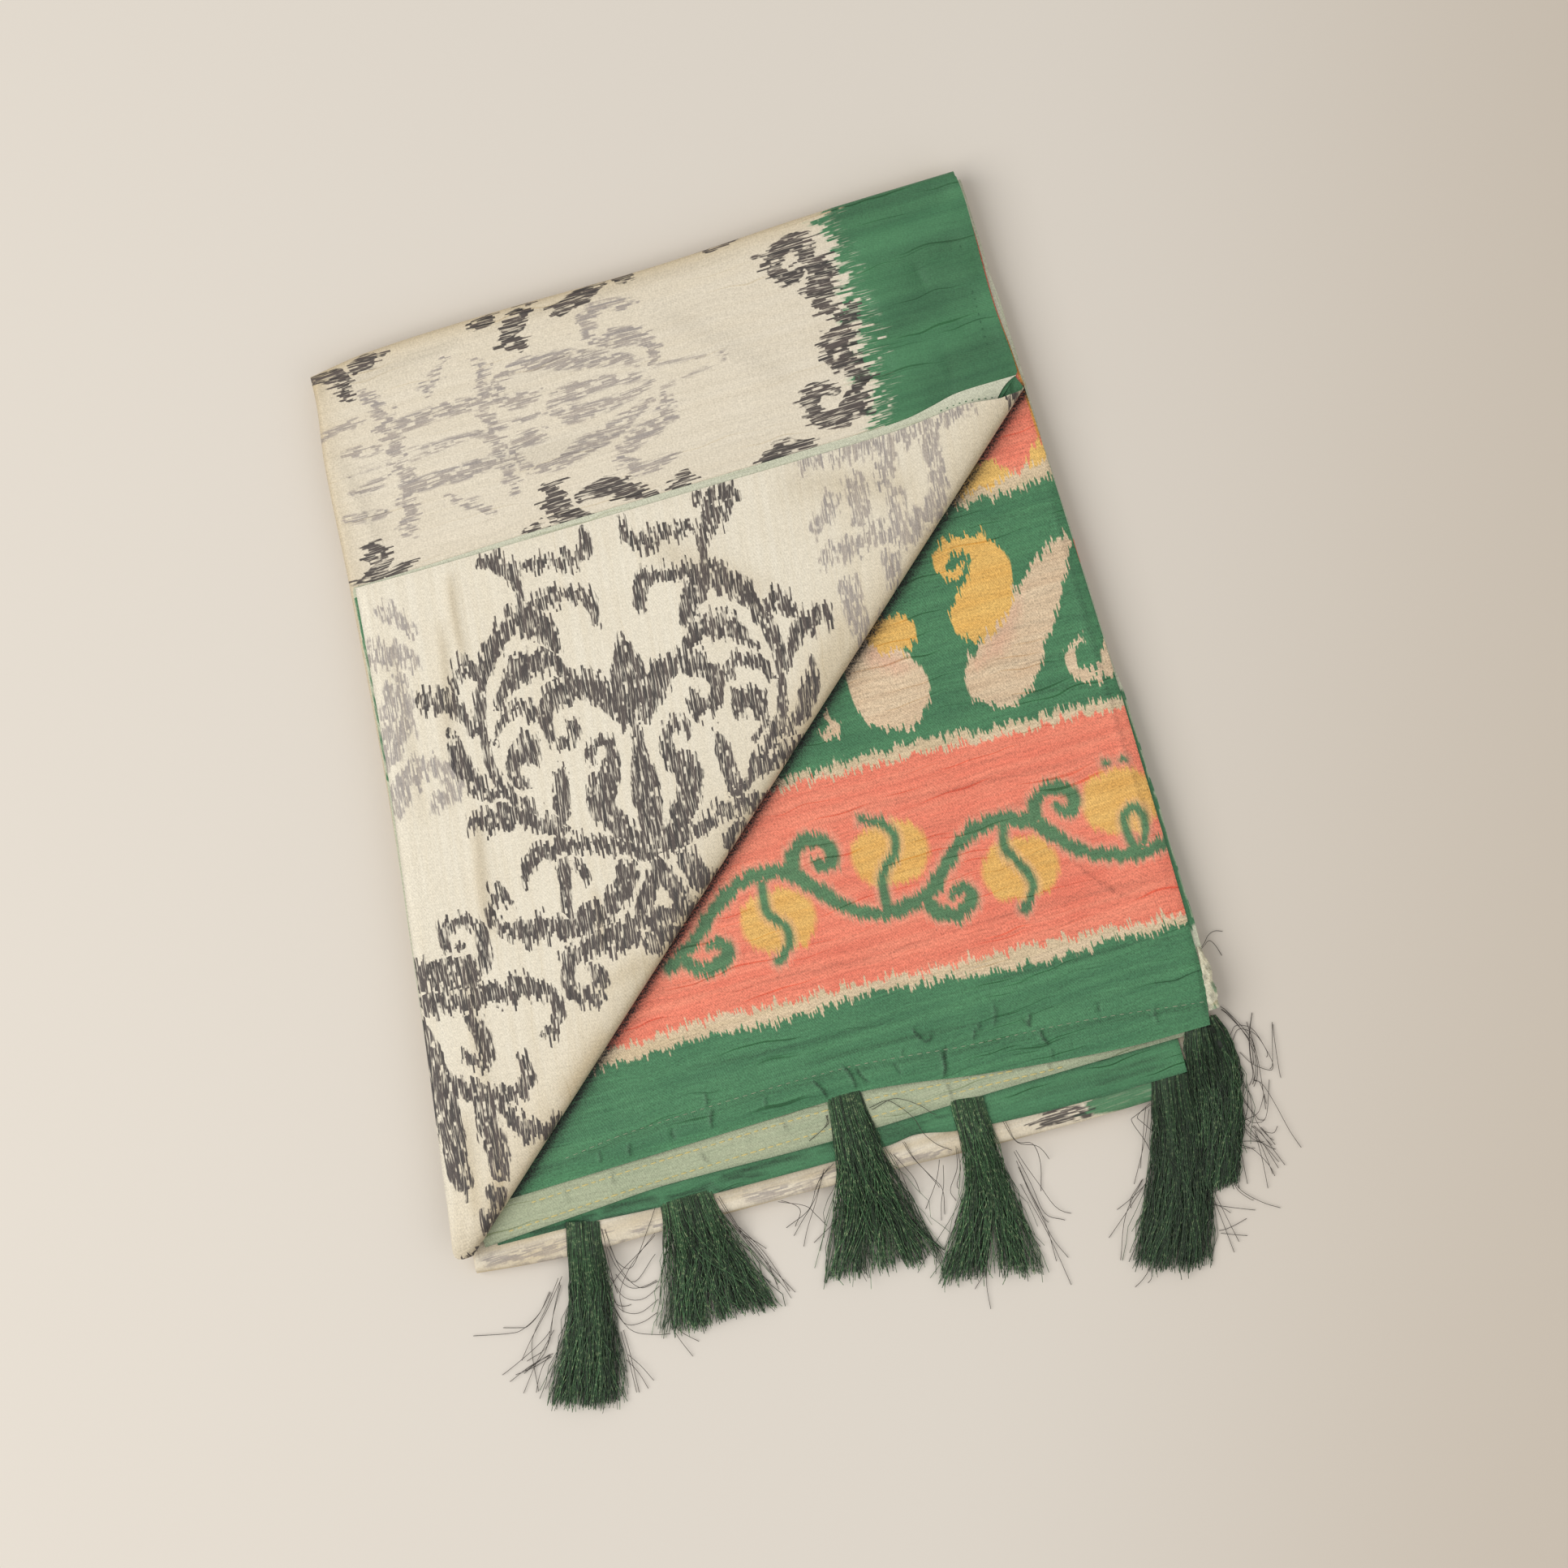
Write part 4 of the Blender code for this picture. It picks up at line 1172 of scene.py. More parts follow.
PANEL_MOTIFS: dict[str, tuple[Stroke, ...]] = {
    "beige_leaf": (
        ((145, 28, 3.5), (137, 20, 6.5), (127, 8, 9.5), (116, -4, 12), (108, -13, 13.4), (104, -15, 12.5)),
        ((57, 6, 11), (60, -4, 14), (62, -9, 15.5)),
        ((140.7, -10.9, 1.2), (135.2, -14.7, 2), (135.2, -22.3, 2.4), (140.8, -25, 2.4), (148.4, -24, 3),
         (149.5, -17.8, 2.6)),
        ((34.2, -11.9, 1.2), (36, -16.7, 2.2), (32.2, -18.8, 2.2)),
    ),
    "yellow_hook": (
        ((103, 31, 1.2), (98.5, 29, 1.8), (94.8, 32.5, 2.2), (96.5, 37.5, 3), (103, 40, 3.2),
         (110, 37.5, 5), (114.5, 31, 7), (113, 23, 9), (107.5, 14.5, 10.8), (102, 10, 9), (99, 4.5, 2.5)),
        ((64, 14, 6), (71, 12.5, 7.4)),
    ),
    "yellow_fruit": (
        ((-10, -84, 12.6), (-5, -84.8, 12.6)), ((40, -71.2, 12.6), (46, -71.6, 12.6)),
        ((88.5, -91.6, 12.6), (94.5, -92.4, 12.6)), ((135, -77, 13), (141, -78, 13)),
    ),
    "green_vine": (
        ((-54.8, -90.7, 2.6), (-41.3, -82.2, 2.6), (-34.5, -74.9, 2.8), (-21, -66.4, 2.8), (-9.5, -64.4, 2.8),
         (2, -67.8, 3), (11.5, -77.6, 2.8), (20.9, -88.2, 2.6), (34.8, -93.9, 2.6), (50.8, -92.4, 3),
         (61, -84.5, 2.8), (71.5, -75.1, 2.8), (85.3, -70.6, 2.8), (99.9, -74.2, 3), (108.2, -82.9, 2.6),
         (116.6, -91.6, 2.4), (127.4, -97.1, 2.4), (139.3, -99.1, 2.6), (149.5, -98.8, 2.4)),
        ((-49.2, -87.7, 2.6), (-44.7, -93.7, 2.6), (-35.7, -94.8, 3), (-30.4, -90.2, 2.6),
         (-33.1, -86.2, 2.2), (-37.2, -86.6, 1.6)),
        ((3.6, -67.5, 2.8), (5.7, -60.3, 2.8), (13, -57, 3), (19.7, -60.5, 2.8), (20.1, -66.9, 2.6),
         (15.7, -68.7, 2.2), (13.5, -65.7, 1.8)),
        ((51.8, -94.2, 2.8), (54.9, -99.8, 2.8), (63.5, -102.4, 3), (69.5, -97.9, 2.6), (67.9, -92.8, 2.4),
         (62.7, -94.4, 1.8)),
        ((103, -74.3, 2.8), (104.9, -67.8, 2.8), (112.1, -64.5, 3), (119.1, -67.4, 2.8), (119.5, -73.7, 2.6),
         (115.1, -75.5, 2.2), (112.9, -72.5, 1.8)),
        ((137.5, -97.5, 1.8), (136.6, -90, 1.6), (137.6, -83.8, 1.6), (142.3, -81.3, 1.6),
         (144.8, -85.9, 1.6), (143.5, -92, 1.5), (140.4, -97.5, 1.5)),
        ((-10, -68, 1.8), (-11.1, -80.3, 1.7), (-5.6, -88.1, 1.7), (-6.3, -95.7, 1.6), (-12.3, -100.2, 1.9)),
        ((35.5, -93, 2.1), (37.6, -79.1, 1.8), (44.5, -71.8, 1.6), (46.6, -64.6, 1.6), (43.5, -59, 1.6),
         (36, -55, 1.8)),
        ((90, -72, 1.8), (87.9, -83.1, 1.7), (92.9, -92.4, 1.7), (94.4, -100.6, 1.6), (88.3, -108.2, 1.9)),
        ((136.2, -61.1, 1.4), (136.8, -61.4, 1.4)), ((143.2, -61.8, 1.4), (143.8, -62, 1.4)),
    ),
}
PINK_GLOW: tuple[Stroke, ...] = (
    ((122, 22, 3), (115, 9, 5), (107, 0, 6), (98, -4, 5)), ((60, 6, 4), (68, 2, 5)),
)
STACK_MARKS: tuple[Stroke, ...] = (
    ((-158, -183, 2.4), (-145, -184.5, 2.6), (-128, -185, 2.4), (-112, -187, 1.8)),
    ((-150, -190, 1.6), (-130, -191.5, 1.8), (-104, -192, 1.6)),
    ((-98, -188.5, 1.6), (-84, -190, 2.2), (-66, -191, 2.6)),
    ((-52, -188, 2), (-36, -190, 2.6), (-24, -191, 2.2)),
    ((-22, -187, 1.8), (-6, -190.5, 2.4)),
    ((12, -191, 1.6), (30, -193.5, 1.8)),
)
STACK_DARK: tuple[Stroke, ...] = (((72, -191, 3.2), (80, -192.5, 3.8), (88, -194.5, 3)),)
STACK_GREEN: tuple[Stroke, ...] = (((92, -192.5, 4), (104, -193.5, 5), (118, -194, 5), (132, -190, 6)),)


@dataclass(frozen=True)
class Roll:
    """The turned-back corner's rolled edge: a straight line on the plan with a slowly changing radius."""

    start: Point = (146.4, 91.4)
    end: Point = (-162.6, -178.2)
    rise_reach: float = 16.0
    stop: float = 8.3
    tip_bulge: float = 4.5
    tip_reach: float = 26.0
    floor: float = BODY_TOP - PLY
    radius: Curve = field(
        default_factory=lambda: Curve((0, 3.4), (60, 3.0), (200, 2.7), (340, 2.8), (410, 3.3))
    )

    @property
    def span(self) -> float:
        """The length of the rolled edge."""
        return math.dist(self.start, self.end)

    @property
    def along(self) -> Point:
        """One step along the edge, from its open end to its tip."""
        return ((self.end[0] - self.start[0]) / self.span, (self.end[1] - self.start[1]) / self.span)

    @property
    def inward(self) -> Point:
        """One step from the edge into the corner."""
        return (self.along[1], -self.along[0])

    def read(self, x: Array, y: Array) -> tuple[Array, Array]:
        """The station along the edge and the distance inwards of plan points."""
        dx, dy = x - self.start[0], y - self.start[1]
        return (dx * self.along[0] + dy * self.along[1], dx * self.inward[0] + dy * self.inward[1])

    def crest_x(self, y: Array, inwards: Array = 0.0) -> Array:
        """x at y on the line that lies a distance inwards from the edge."""
        return self.start[0] + (inwards - (y - self.start[1]) * self.inward[1]) / self.inward[0]

    def cut_x(self, y: Array) -> Array:
        """x at y on the square cut through the tip."""
        return self.start[0] + (self.span - (y - self.start[1]) * self.along[1]) / self.along[0]

    def wrapped_end(self, station: Array) -> Array:
        """How far beyond the edge the cloth goes, measured flat, before it ends underneath."""
        radius = self.radius(station)
        return 2 * radius - math.pi * radius - self.stop

    def reach(self, station: Array) -> Array:
        """How far the corner reaches inwards from its rolled edge.

        Args:
            station: Stations along the edge.

        Returns:
            The distance to the upper edge or the left side, whichever is nearer.
        """
        x0, y0 = (self.start[k] + self.along[k] * station for k in (0, 1))
        to_edge = to_left = np.zeros_like(station)
        for _ in range(8):
            to_edge = (FLAP_EDGE(x0 + self.inward[0] * to_edge) - y0) / self.inward[1]
            y = y0 + self.inward[1] * to_left
            to_left = (BODY_LEFT(y) + FLAP_LEFT_INSET(y) - x0) / self.inward[0]
        return np.maximum(np.minimum(to_edge, to_left), 1.0)

    def place(self, x: Array, y: Array) -> tuple[Array, Array, Array, Array]:
        """Rolls the flat corner.

        Args:
            x: Flat x of the points.
            y: Flat y of the points.

        Returns:
            Their x, y and z once rolled, and how far inwards they lie.
        """
        station, flat = self.read(x, y)
        radius = self.radius(station)
        turn = np.clip((radius - flat) / radius, 0, None)
        level = self.floor + 2 * radius
        across = np.where(turn <= 0, flat, np.where(
            turn < math.pi, radius * (1 - np.sin(np.minimum(turn, math.pi))), radius * (1 + turn - math.pi)))
        z = np.where(
            turn <= 0, mixed(FLAP_TOP, level, ease(1 - (flat - radius) / self.rise_reach)),
            self.floor + radius * (1 + np.cos(np.minimum(turn, math.pi))))
        onset = ease((station - self.span + self.tip_reach) / self.tip_reach)
        share = np.clip(across / self.reach(np.clip(station, 0, self.span)), 0, 1)
        station = station + self.tip_bulge * onset * np.sin(math.pi * share)
        placed_x = self.start[0] + self.along[0] * station + self.inward[0] * across
        placed_y = self.start[1] + self.along[1] * station + self.inward[1] * across
        return placed_x, placed_y, z, across


ROLL = Roll()


@dataclass
class Piece:
    """What every piece of the saree has: a name, the CAD nodes that it takes the place of, and a slot."""

    name: str
    nodes: tuple[str, ...]
    slot: str

    def seat(self, obj: Object) -> Object:
        """Puts a finished piece in the frame, in place of its CAD nodes.

        Args:
            obj: The piece.

        Returns:
            The same piece.
        """
        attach(obj, "root")
        if self.nodes:
            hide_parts(*self.nodes)
        LOG.info("%s: %d triangles", obj.name, sum(len(p.vertices) - 2 for p in obj.data.polygons))
        return obj


@dataclass
class Ply(Piece):
    """A piece that is one sheet of cloth. Each kind of ply has its own lie, and a cut that does nothing."""

    wall: ClassVar[float] = WALL

    def lie(self) -> Sheet:
        """Lays the sheet out, with its print, its creases and its folds.

        Returns:
            The sheet.
        """
        raise NotImplementedError

    def cut(self, obj: Object) -> None:
        """Raises here; every kind of ply leaves it empty, and the flat size of the cloth that shows is not
        stated.
        """
        raise NotImplementedError

    def build(self, finishes: Sequence[Material]) -> Object:
        """Makes the ply and seats it.

        Args:
            finishes: The face's material, and the reverse's where it differs.

        Returns:
            The seated object.
        """
        obj = self.seat(self.lie().build(self.name, finishes, self.wall))
        self.cut(obj)
        return obj


def spaced(low: float, high: float, cell: float) -> Array:
    """Points from low to high, about a cell apart, both ends kept."""
    return np.linspace(low, high, max(int(math.ceil((high - low) / cell)), 1) + 1)


def stepped(*runs: tuple[float, float]) -> Array:
    """Points through several runs, each a far end and the cell up to it; the first is the start.

    Args:
        runs: The start with any cell, then each run's far end and cell.

    Returns:
        The points, with no repeats.
    """
    points = [np.array([runs[0][0]])]
    for (low, _), (high, cell) in zip(runs, runs[1:]):
        if high > low:
            points.append(spaced(low, high, cell)[1:])
    return np.concatenate(points)


@dataclass
class CornerFlap(Ply):
    """The corner's upper ply, with the large motif, lying flat and coming round in a soft roll."""

    chart_zero: Point = (-48.1, -52.3)
    chart_up: Point = (0.1305, 0.9914)
    shear: float = 0.06
    edge_level: float = 90.9
    edge_from: float = 55.0
    rim: tuple[Stroke, ...] = (((169, 155.2, 2.4), (176, 152.5, 4), (186, 148, 4.5)),)
    creases: tuple[Crease, ...] = creased(
        (-94.2, 88, -98.7, 50, 1.8, 0.6), (-103.6, 70, -115.3, 20, 2, 0.5),
        (-110, -5, -121.3, -60, 2.2, 0.6), (-75.4, -50, -79.1, -76, 1.8, 0.5),
        (-131, -60, -140, -120, 2.4, 0.4), (-124, 70, -133, -10, 1.6, -0.3), (-20, 80, 30, 40, 5, 0.35),
        (-60, -100, -20, -60, 5, 0.4), (-110, -130, -84, -108, 4, 0.5), (40, 84, 96, 66, 6, -0.4),
        (-150, -120, -157, -165, 2.6, 0.5), (-138, -132, -152, -168, 2.2, -0.5), (10, -18, 60, 32, 4, -0.3),
        (-88, -92, -60, -84, 3, 0.3),
    )

    def rows(self) -> list[Array]:
        """Crosses the flat corner from below its tip to the upper edge.

        Returns:
            The rows, rolled, with their flat places as the print's.
        """
        lowest = float(ROLL.start[1] + ROLL.along[1] * ROLL.span
                       + ROLL.inward[1] * ROLL.wrapped_end(np.array(ROLL.span)))
        rows = []
        for y in spaced(lowest + 0.4, self.edge_level, CELL):
            left = max(float(BODY_LEFT(y) + FLAP_LEFT_INSET(y)), float(ROLL.cut_x(y)))
            right = float(ROLL.crest_x(y))
            for _ in range(4):
                station = ROLL.read(right, y)[0]
                right = float(ROLL.crest_x(y, ROLL.wrapped_end(station)))
            x = spaced(left, max(right, left + 0.5), CELL)
            follows = ease((y - self.edge_from) / (self.edge_level - self.edge_from))
            lifted = y + (FLAP_EDGE(x) - self.edge_level) * follows
            px, py, pz, _ = ROLL.place(x, lifted)
            rows.append(np.column_stack([px, py, pz, x, lifted, x]))
        return rows

    def lie(self) -> Sheet:
        """Rolls the corner over, prints it and lets its free sides droop.

        Returns:
            The sheet.
        """
        sheet = Sheet.from_rows(self.rows())
        flat_x, flat_y = sheet.cloth.T
        up = self.chart_up
        dx, dy = flat_x - self.chart_zero[0], flat_y - self.chart_zero[1]
        u, v = dx * up[1] - dy * up[0], dx * up[0] + dy * up[1]
        chart_v = v - self.shear * u
        mirrored = [tuple((-a, b, h) for a, b, h in stroke) for stroke in DAMASK_HALF]
        dark = (*DAMASK_HALF, *mirrored, *CORNER_SPRIG, *self.rim)
        sheet.print_field("dark", u, chart_v, dark, Threads.ALONG_Y)
        sheet.print_field("faded", u, chart_v, FADED_CORNER, Threads.ALONG_Y)
        flat = ROLL.read(flat_x, flat_y)[1]
        x, y = sheet.plan
        lifts = relief(x, y, self.creases)
        beside = np.clip(flat_x - BODY_LEFT(flat_y) - FLAP_LEFT_INSET(flat_y), 0, None)
        under = np.clip(FLAP_EDGE(flat_x) - flat_y, 0, None)
        droop = np.maximum(0.6 * waning(beside, 4), 0.5 * waning(under, 3) * (flat > 12))
        sheet.place[:, 2] += bed(x, y) + lifts * np.clip((flat - 6) / 12, 0, 1) - droop
        # Painted shade: darker in the creases, along the drooping left edge and towards the roll; the 'fold'
        # value browns the cloth near the roll and over the creases.
        dip_shade = crease_shade(x, y, self.creases) * 0.25 * (flat > 4)
        sheet.fields["crease"] = dip_shade + 0.3 * waning(beside, 1.5) + 0.4 * fading(flat - 1, 5)
        roll_shade = fading(flat - 2, 13) * 0.7 + (flat < 2) * 0.2
        sheet.fields["fold"] = np.clip(roll_shade + np.abs(lifts) * 0.9, 0, 1)
        sheet.cloth = np.column_stack([u, v])
        return sheet

    def cut(self, obj: Object) -> None:
        """Does nothing; the cloth that shows is a triangle."""


@dataclass
class CornerUnderPly(Ply):
    """The corner's lower ply, whose pale reverse shows above the flap and green edge at its left."""

    foot: float = -168.0
    strip_from: float = 84.0
    strip: float = 14.4
    head: float = 98.4
    coarse_to: float = 70.0
    tuck: float = 8.0
    right_end: float = 146.0
    green_ends: Point = (12.0, 88.5)

    def lie(self) -> Sheet:
        """Lays the ply out, coarse where the flap hides it.

        Returns:
            The sheet.
        """
        rows = []
        hidden = stepped((self.foot, 1), (self.coarse_to, 8.0), (self.strip_from, 3.0))[:-1]
        for y in np.concatenate([hidden, spaced(self.strip_from, self.head, 0.8)]):
            left = float(BODY_LEFT(y) + UNDER_LEFT_INSET(y))
            inwards = self.tuck - 2.6 * float(ease((y - 60.0) / 30.0))
            right = min(float(ROLL.crest_x(y, inwards)), self.right_end)
            x = stepped((left, 1), (left + 4.0, 0.8), (right - 3.0, 3.0), (right, 1.0))
            edge = STRIP_EDGE(x) + 0.8 * ease((x + 110.0) / 60.0) * waning(x - 60.0, 45.0)
            lowered = mixed(y, edge - (self.head - y) * 0.35, ease((y - self.strip_from) / self.strip))
            droop = 0.55 * waning(edge - lowered, 3.0)
            rows.append(flat_row(x, lowered, UNDER_PLY_TOP + bed(x, lowered) - droop))
        sheet = Sheet.from_rows(rows)
        x, y = sheet.plan
        beside = x - BODY_LEFT(y) - UNDER_LEFT_INSET(y)
        wavy = 0.5 * np.sin(y * 0.35) + 0.4 * np.sin(y * 0.13 + 1.0)
        green = (y > self.green_ends[0]) & (y < self.green_ends[1])
        sheet.fields["green_edge"] = np.where(green, np.abs(beside - 0.9 - 0.5 * wavy) - 0.6, 4.0)
        # Darker towards the left side, within 6 mm of it.
        sheet.fields["fold"] = np.clip(1 - beside / 6, 0, 1) * 0.5
        return sheet

    def cut(self, obj: Object) -> None:
        """Does nothing; the cloth that shows is a triangle."""


@dataclass
class UpperLayer(Ply):
    """The upper printed layer: over the top and left folds, to its green selvedge and under the corner."""

    bend_radius: float = 3.0
    skirt: float = 2.0
    foot: float = -168.0
    crown: float = 179.8
    follows_crown_from: float = 120.0
    head: float = 180.0
    coarse_to: float = 84.0
    shown_from: float = 88.0
    fine_from: float = 90.0
    tuck: float = 8.6
    hidden_cell: float = 7.0
    selvedge: float = 92.0
    creases: tuple[Crease, ...] = creased(
        (-120, 172, -60, 176, 3, -0.5), (-60, 176, 60, 177, 2.4, -0.4), (90, 176.5, 143, 178, 2.2, -0.7),
        (-126, 150, -118, 100, 3, 0.5), (98, 166, 143, 170.5, 1.6, 0.5), (99, 157.5, 142, 155, 1.8, -0.4),
        (97, 141, 120, 147, 2, 0.6), (120, 147, 143, 146, 1.8, 0.5), (96, 128, 143, 134, 1.8, -0.45),
        (98, 117, 130, 124, 1.8, 0.5), (118, 110, 145, 114, 2.4, -0.4), (120, 104, 145, 101, 3, 0.4),
        (-80, 128, -20, 120, 5, 0.4), (10, 168, 60, 120, 6, 0.35), (-127, 168, -120, 176, 2, -0.4),
        (-60, 150, 10, 156, 4, -0.25),
    )

    def bent(self, run: Array) -> tuple[Array, Array]:
        """Follows the cloth over the bend.

        Args:
            run: Runs along the cloth from the free end of its skirt.

        Returns:
            How far in and how far down the cloth is there.
        """
        turn = np.clip((run - self.skirt) / self.bend_radius, 0, math.pi / 2)
        inner = self.bend_radius * (1 - np.cos(turn))
        down = self.bend_radius * (1 - np.sin(turn)) + np.clip(self.skirt - run, 0, None)
        return inner, down

    def rows(self) -> list[Array]:
        """Crosses the layer from its hidden foot up, then down over the top fold.

        Returns:
            The rows, each with its left bend.
        """
        arc = self.skirt + self.bend_radius * math.pi / 2
        runs = np.concatenate([[0.0, 1.0], np.linspace(self.skirt, arc, 7)])
        inner, down = self.bent(runs[:-1])
        last = self.crown - self.bend_radius
        levels = stepped((self.foot, 1), (self.coarse_to, self.hidden_cell), (self.fine_from, 3.0),
                         (last, CELL))
        plain = [(y, 0.0, 0.0) for y in levels]
        plain += [(None, float(run), arc - float(run)) for run in runs[::-1][1:]]
        rows = []
        for level, run, beyond in plain:
            shown = level is None or level > self.shown_from
            y_guess = self.head if level is None else level
            left = float(BODY_LEFT(y_guess)) + self.bend_radius
            right = min(float(BODY_RIGHT(y_guess)), float(ROLL.crest_x(y_guess, 0.0)) - self.tuck)
            x_flat = spaced(left, right, CELL if shown else self.hidden_cell)
            x_key = np.concatenate([left - (arc - runs[:-1]), x_flat])
            x = np.concatenate([left - self.bend_radius + inner, x_flat])
            x_drop = np.concatenate([down, np.zeros_like(x_flat)])
            crown = TOP_FOLD(x)
            if level is None:
                y_in, y_down = self.bent(np.array(run))
                y = crown - y_in
                cloth_y = crown - self.bend_radius + beyond
            else:
                y_down = 0.0
                follows = ease((level - self.follows_crown_from) / (last - self.follows_crown_from))
                y = cloth_y = level + (crown - self.crown) * follows
            side = x + (BODY_LEFT(y) - BODY_LEFT(y_guess)) * waning(x - left, 60.0)
            rows.append(np.column_stack(
                [side, y, BODY_TOP - np.maximum(x_drop, y_down), x_key, cloth_y, x_key]))
        return rows

    def lie(self) -> Sheet:
        """Prints and creases the layer and paints shade at its folds and creases; its green selvedge has
        broad creases and painted sheen in broad bands.

        Returns:
            The sheet.
        """
        sheet = Sheet.from_rows(self.rows())
        x, y = sheet.plan
        cloth_x, cloth_y = sheet.cloth.T.copy()
        off_axis = np.abs(cloth_y - SPRAY_AXIS(cloth_x))
        sheet.print_field("faded", cloth_x, off_axis, FADED_SPRAY, Threads.ALONG_X)
        sheet.print_field("dark", cloth_x, cloth_y, UPPER_DARK, Threads.ALONG_X)
        sheet.fields["border"] = np.clip(GREEN_BORDER_X(cloth_y) - cloth_x, -40, 24)
        top_gap = np.clip(TOP_FOLD(x) - y, 0, None)
        left_gap = np.clip(x - BODY_LEFT(y), 0, None)
        # Painted shade: the 'fold' value darkens the cloth near the top and left folds.
        sheet.fields["fold"] = np.clip(fading(top_gap, 5) + 0.8 * fading(left_gap, 5), 0, 1)
        on_green = cloth_x > self.selvedge
        soft = [crease._replace(width=crease.width * 2.4) for crease in self.creases]
        lifts = np.where(on_green, 1.9 * relief(x, y, soft), relief(x, y, self.creases))
        lifts = np.maximum(lifts * np.clip(np.minimum(top_gap, left_gap) / 8, 0, 1), -0.5)
        corner = ease((x - 138.0) / 8.0) * waning(y - 99.0, 6.0) * 0.6
        # On the green, painted shade in the troughs and painted sheen in broad wavy bands, and darker in a
        # band along the top fold; off the green, painted shade in the sharp creases; painted shade along the
        # left fold everywhere.
        top_fold_band = fading(TOP_FOLD(x) - y - 4.0, 3.0) * on_green
        sheen = 0.5 + 0.5 * np.sin(0.105 * y - 0.035 * x + 1.4 * np.sin(0.043 * y + 1.0) + 2.2)
        trough_and_sheen_shade = 0.4 * np.clip(-lifts, 0, 0.5) + 0.34 * ease(sheen) * ease((cloth_x - self.selvedge) / 24)
        dip_shade = np.where(on_green, trough_and_sheen_shade, crease_shade(x, y, self.creases) * 0.35 * (cloth_x < self.selvedge))
        sheet.fields["crease"] = dip_shade + 0.3 * fading(left_gap, 1.2) + 0.25 * top_fold_band
        sheet.place[:, 2] += bed(x, y) * ease((sheet.place[:, 2] - 9.0) / 4.0) + lifts - corner
        sheet.cloth = np.column_stack([cloth_y, cloth_x])
        return sheet

    def cut(self, obj: Object) -> None:
        """Does nothing; the cloth that shows is the layer less the turned corner."""


@dataclass
class EndPanel(Ply):
    """The end panel, with its bands, leaves and vine, and its stitched hem."""

    foot: float = -161.0
    hem_top: float = -138.0
    hem_cell: float = 0.85
    hidden_cell: float = 8.0
    fine_to: float = 90.0
    flap_to: float = 92.0
    shown_to: float = 96.0
    head: float = 178.0
    creases: tuple[Crease, ...] = creased(
        (112.4, -95, 129.7, -115.8, 0.9, 0.3), (0.2, -147, 3.3, -158.5, 0.7, 0.8),
        (5.5, -150, 9, -157.5, 0.6, -0.6), (40.2, -152.6, 38.2, -164, 0.7, 0.9),
        (31.8, -140.8, 35.1, -148, 0.6, 0.7), (38.7, -146, 34.4, -148.2, 0.6, 0.7),
        (42.5, -152, 40.6, -158.5, 0.6, -0.6), (55.9, -148, 53.4, -152.6, 0.6, 0.6),
        (58.4, -146.6, 57, -150.6, 0.6, 0.5), (66.2, -139.5, 63.1, -150.1, 0.8, 0.45),
        (79.3, -148.6, 76.9, -154.6, 0.6, 0.7), (74.6, -150, 77.6, -154.4, 0.6, -0.5),
        (80.7, -156, 82.4, -163.2, 0.7, 0.8), (83, -165, 82, -169, 0.6, 0.4),
        (26, -147.4, 24.6, -151, 0.6, 0.4), (-13, -149.9, -9, -158.5, 0.7, 0.8),
        (-54.4, -149.5, -56.8, -157, 0.6, 0.6), (-55.6, -142, -56.9, -148.6, 0.6, 0.5),
        (106.6, -152, 105.6, -156.6, 0.6, -0.4), (20, -152, 21.6, -158, 0.7, -0.4),
        (-90, -153, -91.6, -159, 0.6, 0.5), (-103, -152.6, -104, -158, 0.6, 0.4),
        (-72, -151.6, -72.8, -157, 0.6, -0.4), (-33, -150.4, -34, -155, 0.6, 0.4),
        (128, -160, 127, -168, 0.8, 0.4), (60, -132, 148, -136, 1, -0.35), (-60, -131, 30, -136, 1, 0.3),
        (-20, -143, 60, -147, 0.9, -0.4), (30, -50, 140, -57, 1, 0.22), (60, -108, 148, -112, 1, 0.25),
        (-20, -106, 50, -109, 1, -0.22), (98, 2, 148, -2, 1, 0.22), (116, 47, 148, 44, 1, 0.22),
        (80, -24, 140, -29, 1.2, -0.22), (100, -10, 146, -14, 0.9, -0.18), (44, -66, 146, -70, 0.9, 0.16),
        (146, 60, 147, -120, 1.4, 0.3),
    )
    hem_line: Curve = field(default_factory=lambda: Curve(
        (-119, -151.9), (-87.6, -148.9), (-1.7, -148.6), (51.3, -154.1), (97, -157.6), (145.7, -164.1)))

    def rows(self) -> list[Array]:
        """Crosses the panel from its hem up, fine at the hem and coarse where it is hidden.

        Returns:
            The rows.
        """
        rows = []
        for y in stepped((self.foot, 1), (self.hem_top, self.hem_cell), (self.fine_to, CELL),
                         (self.shown_to, 3.0), (self.head, self.hidden_cell)):
            left, right = float(STACK_LEFT(y)) + 3.0, float(PANEL_RIGHT(y))
            if y > self.shown_to:
                right = min(right, float(BODY_RIGHT(y)) + 0.6)
            crest = min(float(ROLL.crest_x(y)) - 12.0, right - 6.0)
            if y > self.flap_to:
                x = spaced(left, right, self.hidden_cell)
            else:
                x = stepped((left, 1), (max(crest, left + 1), 9.0),
                            (right, 0.6 if y < self.hem_top else CELL))
            hem, seam = PANEL_HEM(x), self.hem_line(x)
            level = y + (hem - self.foot) * waning(y - self.foot, 60.0)
            droop = 0.75 * waning(level - hem, 5.0)
            over = 0.5 * waning(right - x, 2.5)
            stitched = 0.16 * np.exp(-0.5 * ((level - seam) / 0.7) ** 2)
            band = 0.10 * ease((seam - level) / 1.2)
            z = PANEL_TOP + bed(x, level) + relief(x, level, self.creases) - droop - over
            rows.append(flat_row(x, level, z - stitched + band))
        return rows

